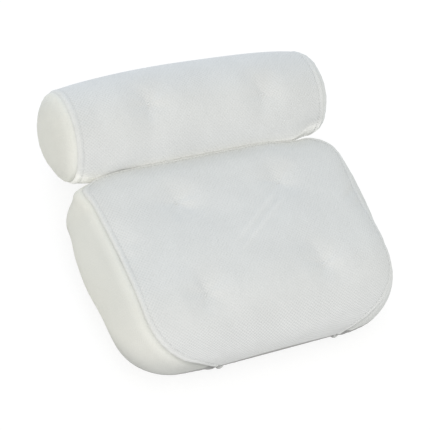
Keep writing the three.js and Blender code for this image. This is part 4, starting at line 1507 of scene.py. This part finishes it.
def woven_material(name, light, dark, pitch, depth, roughness):
    """Plain weave: over-and-under threads."""
    material, tree, shader = new_material(name)
    vector, x, y = weave_axes(tree)[:3]
    fibre = noise(tree, vector, FIBRE_SCALE, detail=3)
    raised = math_node(tree, "ADD", lattice(tree, "SINE", x, y, pitch), fibre)
    level = ramp(tree, raised, WEAVE_LOW, WEAVE_HIGH, 0.0, 1.0)
    feed(tree, shader, {
        "Base Color": mixed(tree, level, dark, light),
        "Normal": bumped(tree, level, depth),
        "Roughness": spread(tree, fibre, roughness - ROUGHNESS_SWING, roughness),
        "Specular IOR Level": 0.25,
    })
    return material


def thread_material():
    material, tree, shader = new_material("thread")
    vector = weave_axes(tree)[0]
    twist = node(tree, "ShaderNodeTexWave", {"Vector": vector, "Scale": 600, "Distortion": 1.5})
    colour = mixed(tree, twist.outputs[1], THREAD_DARK, THREAD_LIGHT)
    feed(tree, shader, {"Base Color": colour, "Roughness": 0.6})
    return material


def foam_material():
    material, tree, shader = new_material("foam")
    vector = weave_axes(tree)[0]
    cells = node(tree, "ShaderNodeTexVoronoi", {"Vector": vector, "Scale": 700})
    level = ramp(tree, cells.outputs["Distance"], CELL_LOW, CELL_HIGH, 0.0, 1.0)
    colour = mixed(tree, level, FOAM_DARK, FOAM_LIGHT)
    feed(tree, shader, {"Base Color": colour, "Normal": bumped(tree, level, CELL_DEPTH), "Roughness": 0.95})
    return material


def vinyl_material():
    material, tree, shader = new_material("clear_vinyl")
    cloud = noise(tree, weave_axes(tree)[0], CLOUD_SCALE)
    feed(tree, shader, {
        "Base Color": mixed(tree, cloud, VINYL_DARK, VINYL_LIGHT),
        "Roughness": spread(tree, cloud, VINYL_SMOOTH, VINYL_ROUGH),
        "Transmission Weight": 0.85,
        "IOR": 1.5,
    })
    return material


NOISE_LOW = 0.3
NOISE_HIGH = 0.7
BUMP_STRENGTH = 0.6
HOLE_LOW = -0.15
HOLE_HIGH = 0.7
KNIT_SCALE = 900
KNIT_RELIEF = 0.3
DRIFT_SCALE = 18
SHADE_SWING = 0.02
# Painted highlight beside the seams
HIGHLIGHT_BAND_FULL = 0.25
HIGHLIGHT_SHARE = 0.9
# Painted shade in the seam's groove and along the stitch line
SEAM_LINE_CORE = 0.0003
SEAM_LINE_REACH = 0.0016
SEAM_LINE_SHARE = 0.2
STITCH_LINE_CORE = 0.0002
STITCH_LINE_REACH = 0.0012
THREAD_ROUGHNESS = 0.82
HOLE_ROUGHNESS = 0.95
FIBRE_SCALE = 700
WEAVE_LOW = -0.6
WEAVE_HIGH = 1.4
ROUGHNESS_SWING = 0.08
CELL_LOW = 0.1
CELL_HIGH = 0.6
CELL_DEPTH = 0.0005
CLOUD_SCALE = 60
VINYL_SMOOTH = 0.12
VINYL_ROUGH = 0.22
MESH_THREAD = (0.765, 0.778, 0.776)
MESH_HOLE = (0.60, 0.615, 0.615)
# Painted highlight beside the seams
MESH_SEAM_HIGHLIGHT = (0.79, 0.80, 0.79)
# Left copy of the side fabric, painted warmer for warm light from the left; its edge colour is a painted
# highlight beside the seams
SIDE_THREAD = (0.745, 0.75, 0.71)
SIDE_HOLE = (0.67, 0.675, 0.635)
SIDE_SEAM_HIGHLIGHT = (0.83, 0.836, 0.79)
# Painted shade, in the seam and stitch lines and above the lower edge
MESH_PAINTED_SHADE = (0.56, 0.57, 0.565)
SIDE_PAINTED_SHADE = (0.53, 0.54, 0.52)
# Dark painted shadow line along the lower edge
PAINTED_EDGE_SHADOW = (0.36, 0.36, 0.355)
# Painted light, also the colour of its faint glow
PAINTED_LIGHT = (0.95, 0.95, 0.93)
# Far copy of the same side fabric, painted cooler; its edge colour is a painted highlight beside the seams
FAR_THREAD = (0.735, 0.752, 0.745)
FAR_HOLE = (0.66, 0.675, 0.668)
FAR_SEAM_HIGHLIGHT = (0.77, 0.785, 0.778)
BACKING_LIGHT = (0.72, 0.72, 0.69)
BACKING_DARK = (0.56, 0.56, 0.53)
WEBBING_LIGHT = (0.70, 0.70, 0.67)
WEBBING_DARK = (0.50, 0.50, 0.47)
THREAD_LIGHT = (0.86, 0.87, 0.86)
THREAD_DARK = (0.76, 0.77, 0.76)
FOAM_LIGHT = (0.78, 0.76, 0.66)
FOAM_DARK = (0.60, 0.58, 0.48)
VINYL_LIGHT = (0.90, 0.93, 0.94)
VINYL_DARK = (0.80, 0.84, 0.86)

air_mesh = mesh_material("air_mesh", MESH_THREAD, MESH_HOLE, MESH_SEAM_HIGHLIGHT, MESH_PAINTED_SHADE, MESH_PITCH,
                         depth=0.0004, highlight_band=0.010, stitched=0.10, shaded=0.38)
# Two copies of one side fabric, lit and shaded by painted colour: each has its own strength of painted
# shade above the lower edge
side_mesh = mesh_material("side_mesh", SIDE_THREAD, SIDE_HOLE, SIDE_SEAM_HIGHLIGHT, SIDE_PAINTED_SHADE, SIDE_PITCH,
                          depth=0.0002, highlight_band=0.015, stitched=0.0, shaded=1.0)
far_mesh = mesh_material("far_mesh", FAR_THREAD, FAR_HOLE, FAR_SEAM_HIGHLIGHT, SIDE_PAINTED_SHADE, SIDE_PITCH,
                         depth=0.0002, highlight_band=0.013, stitched=0.0, shaded=0.45)
backing = woven_material("backing_cloth", BACKING_LIGHT, BACKING_DARK,
                         pitch=0.0012, depth=0.0002, roughness=0.85)
webbing = woven_material("webbing", WEBBING_LIGHT, WEBBING_DARK,
                         pitch=0.0020, depth=0.0003, roughness=0.8)
thread = thread_material()
foam = foam_material()
vinyl = vinyl_material()


# What each piece is, what it stands for and what it rides on

def settle(obj, body, slot, material, *nodes):
    obj.data.materials.clear()
    obj.data.materials.append(material)
    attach(obj, body)
    if nodes:
        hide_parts(*nodes)


pad_wear = {
    "top": ("pad_top_panel", air_mesh),
    "gusset_left": ("pad_gusset_left", side_mesh),
    "gusset_right": ("pad_gusset_right", far_mesh),
    "back": ("pad_back_panel", far_mesh),
    "bottom": ("pad_bottom_panel", backing),
}
roll_wear = {"tube": air_mesh, "cap_left": side_mesh, "cap_right": far_mesh}
for name, (panel_node, cloth) in pad_wear.items():
    slot = "backing_cloth" if name == "bottom" else "air_mesh"
    settle(pad_pieces[name], "pad", slot, cloth, panel_node)
for name, cloth in roll_wear.items():
    settle(roll_pieces[name], "roll", "air_mesh", cloth, f"roll_{name}")
settle(pad_foam, "pad", "foam", foam, "pad_foam_core")
settle(roll_foam, "roll", "foam", foam, "roll_foam_core")
settle(pad_stitches, "pad", "thread", thread)
settle(roll_stitches, "roll", "thread", thread)
for obj in tab_pieces:
    settle(obj, "pad", "air_mesh", far_mesh)
settle(pad_bars, "pad", "thread", thread)
settle(roll_bars, "roll", "thread", thread)
for tie_node, obj in tie_pieces.items():
    settle(obj, "pad" if tie_node.startswith("pad") else "roll", "thread", thread, tie_node)
for name, obj in cups.items():
    settle(obj, f"cup_{name}", "clear_vinyl", vinyl, f"suction_cup_{name}")
for name, obj in patches.items():
    settle(obj, "roll" if name in ROLL_CUPS else "pad", "webbing", webbing, f"cup_patch_{name}")
strip.data.materials.append(backing)
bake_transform(strip)
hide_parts("hinge_strip")


# Floor, light and camera

FLOOR_HALF = 6.0
FLOOR_GLOW = 0.82
FLOOR_COLOUR = 0.24
FLOOR_BOUNCE = (0.85, 0.845, 0.825)
WORLD_LIGHT = 0.797
WORLD_COLOUR = (0.995, 1.0, 0.957)
LAMP_SIZE = 1.6
LAMPS = {
    "front": ((-0.50, -1.95, 0.80), 9.0, (0.90, 0.87, 1.0)),
    "left": ((-1.95, -0.30, 0.80), 4.2, (1.0, 0.91, 0.78)),
    "back": ((0, 1.90, 1.20), 9.5, (0.42, 0.60, 1.0)),
}
EYE = Vector((-0.7305, -0.7331, 1.3422))
LOOK = Vector((0.43717, 0.43877, -0.78545))
UP_HINT = Vector((0.1840, 0.7993, 0.5720))
LENS = 125.58
SENSOR = 36


def seen_by_eye(tree):
    """1 for what the camera sees, straight on, in a reflection or through the vinyl."""
    path = node(tree, "ShaderNodeLightPath")
    seen = math_node(tree, "MAXIMUM", path.outputs["Is Camera Ray"], path.outputs["Is Glossy Ray"])
    return math_node(tree, "MAXIMUM", seen, path.outputs["Is Transmission Ray"])


def floor_material():
    """White to the eye with the object's shadow kept, and a pale bounce to everything else."""
    material, tree, _ = new_material("studio_floor")
    tree.nodes.clear()
    seen = seen_by_eye(tree)
    glow = node(tree, "ShaderNodeEmission", {"Color": (1, 1, 1, 1), "Strength": FLOOR_GLOW})
    shown = node(tree, "ShaderNodeBsdfDiffuse", {"Color": (FLOOR_COLOUR, FLOOR_COLOUR, FLOOR_COLOUR, 1)})
    both = node(tree, "ShaderNodeAddShader", {0: glow.outputs[0], 1: shown.outputs[0]})
    bounce = node(tree, "ShaderNodeBsdfDiffuse", {"Color": (*FLOOR_BOUNCE, 1)})
    pick = node(tree, "ShaderNodeMixShader", {0: seen, 1: bounce.outputs[0], 2: both.outputs[0]})
    output = node(tree, "ShaderNodeOutputMaterial")
    tree.links.new(pick.outputs[0], output.inputs["Surface"])
    return material


floor_points = [(-FLOOR_HALF, -FLOOR_HALF, 0), (FLOOR_HALF, -FLOOR_HALF, 0),
                (FLOOR_HALF, FLOOR_HALF, 0), (-FLOOR_HALF, FLOOR_HALF, 0)]
floor = new_object("studio_floor", floor_points, [[0, 1, 2, 3]])
floor.data.materials.append(floor_material())
floor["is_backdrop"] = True

scene = bpy.context.scene
world = bpy.data.worlds.new("studio")
world.use_nodes = True
scene.world = world
tree = world.node_tree
tree.nodes.clear()
seen = seen_by_eye(tree)
light = node(tree, "ShaderNodeBackground", {"Color": (*WORLD_COLOUR, 1), "Strength": WORLD_LIGHT})
white = node(tree, "ShaderNodeBackground", {"Color": (1, 1, 1, 1), "Strength": 1.0})
pick = node(tree, "ShaderNodeMixShader", {0: seen, 1: light.outputs[0], 2: white.outputs[0]})
output = node(tree, "ShaderNodeOutputWorld")
tree.links.new(pick.outputs[0], output.inputs["Surface"])

for name, (place, watts, colour) in LAMPS.items():
    lamp = bpy.data.lights.new(name, "AREA")
    lamp.size = LAMP_SIZE
    lamp.energy = watts
    lamp.color = colour
    lamp_object = linked(name, lamp)
    lamp_object.location = place
    lamp_object.rotation_euler = (-Vector(place)).to_track_quat("-Z", "Y").to_euler()

camera = bpy.data.cameras.new("camera")
camera.lens = LENS
camera.sensor_width = SENSOR
camera_object = linked("camera", camera)
back = -LOOK.normalized()
right = UP_HINT.cross(back).normalized()
up = back.cross(right)
camera_object.matrix_world = Matrix((
    (right.x, up.x, back.x, EYE.x),
    (right.y, up.y, back.y, EYE.y),
    (right.z, up.z, back.z, EYE.z),
    (0, 0, 0, 1),
))
scene.camera = camera_object
scene.view_settings.view_transform = "Standard"

low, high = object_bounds()
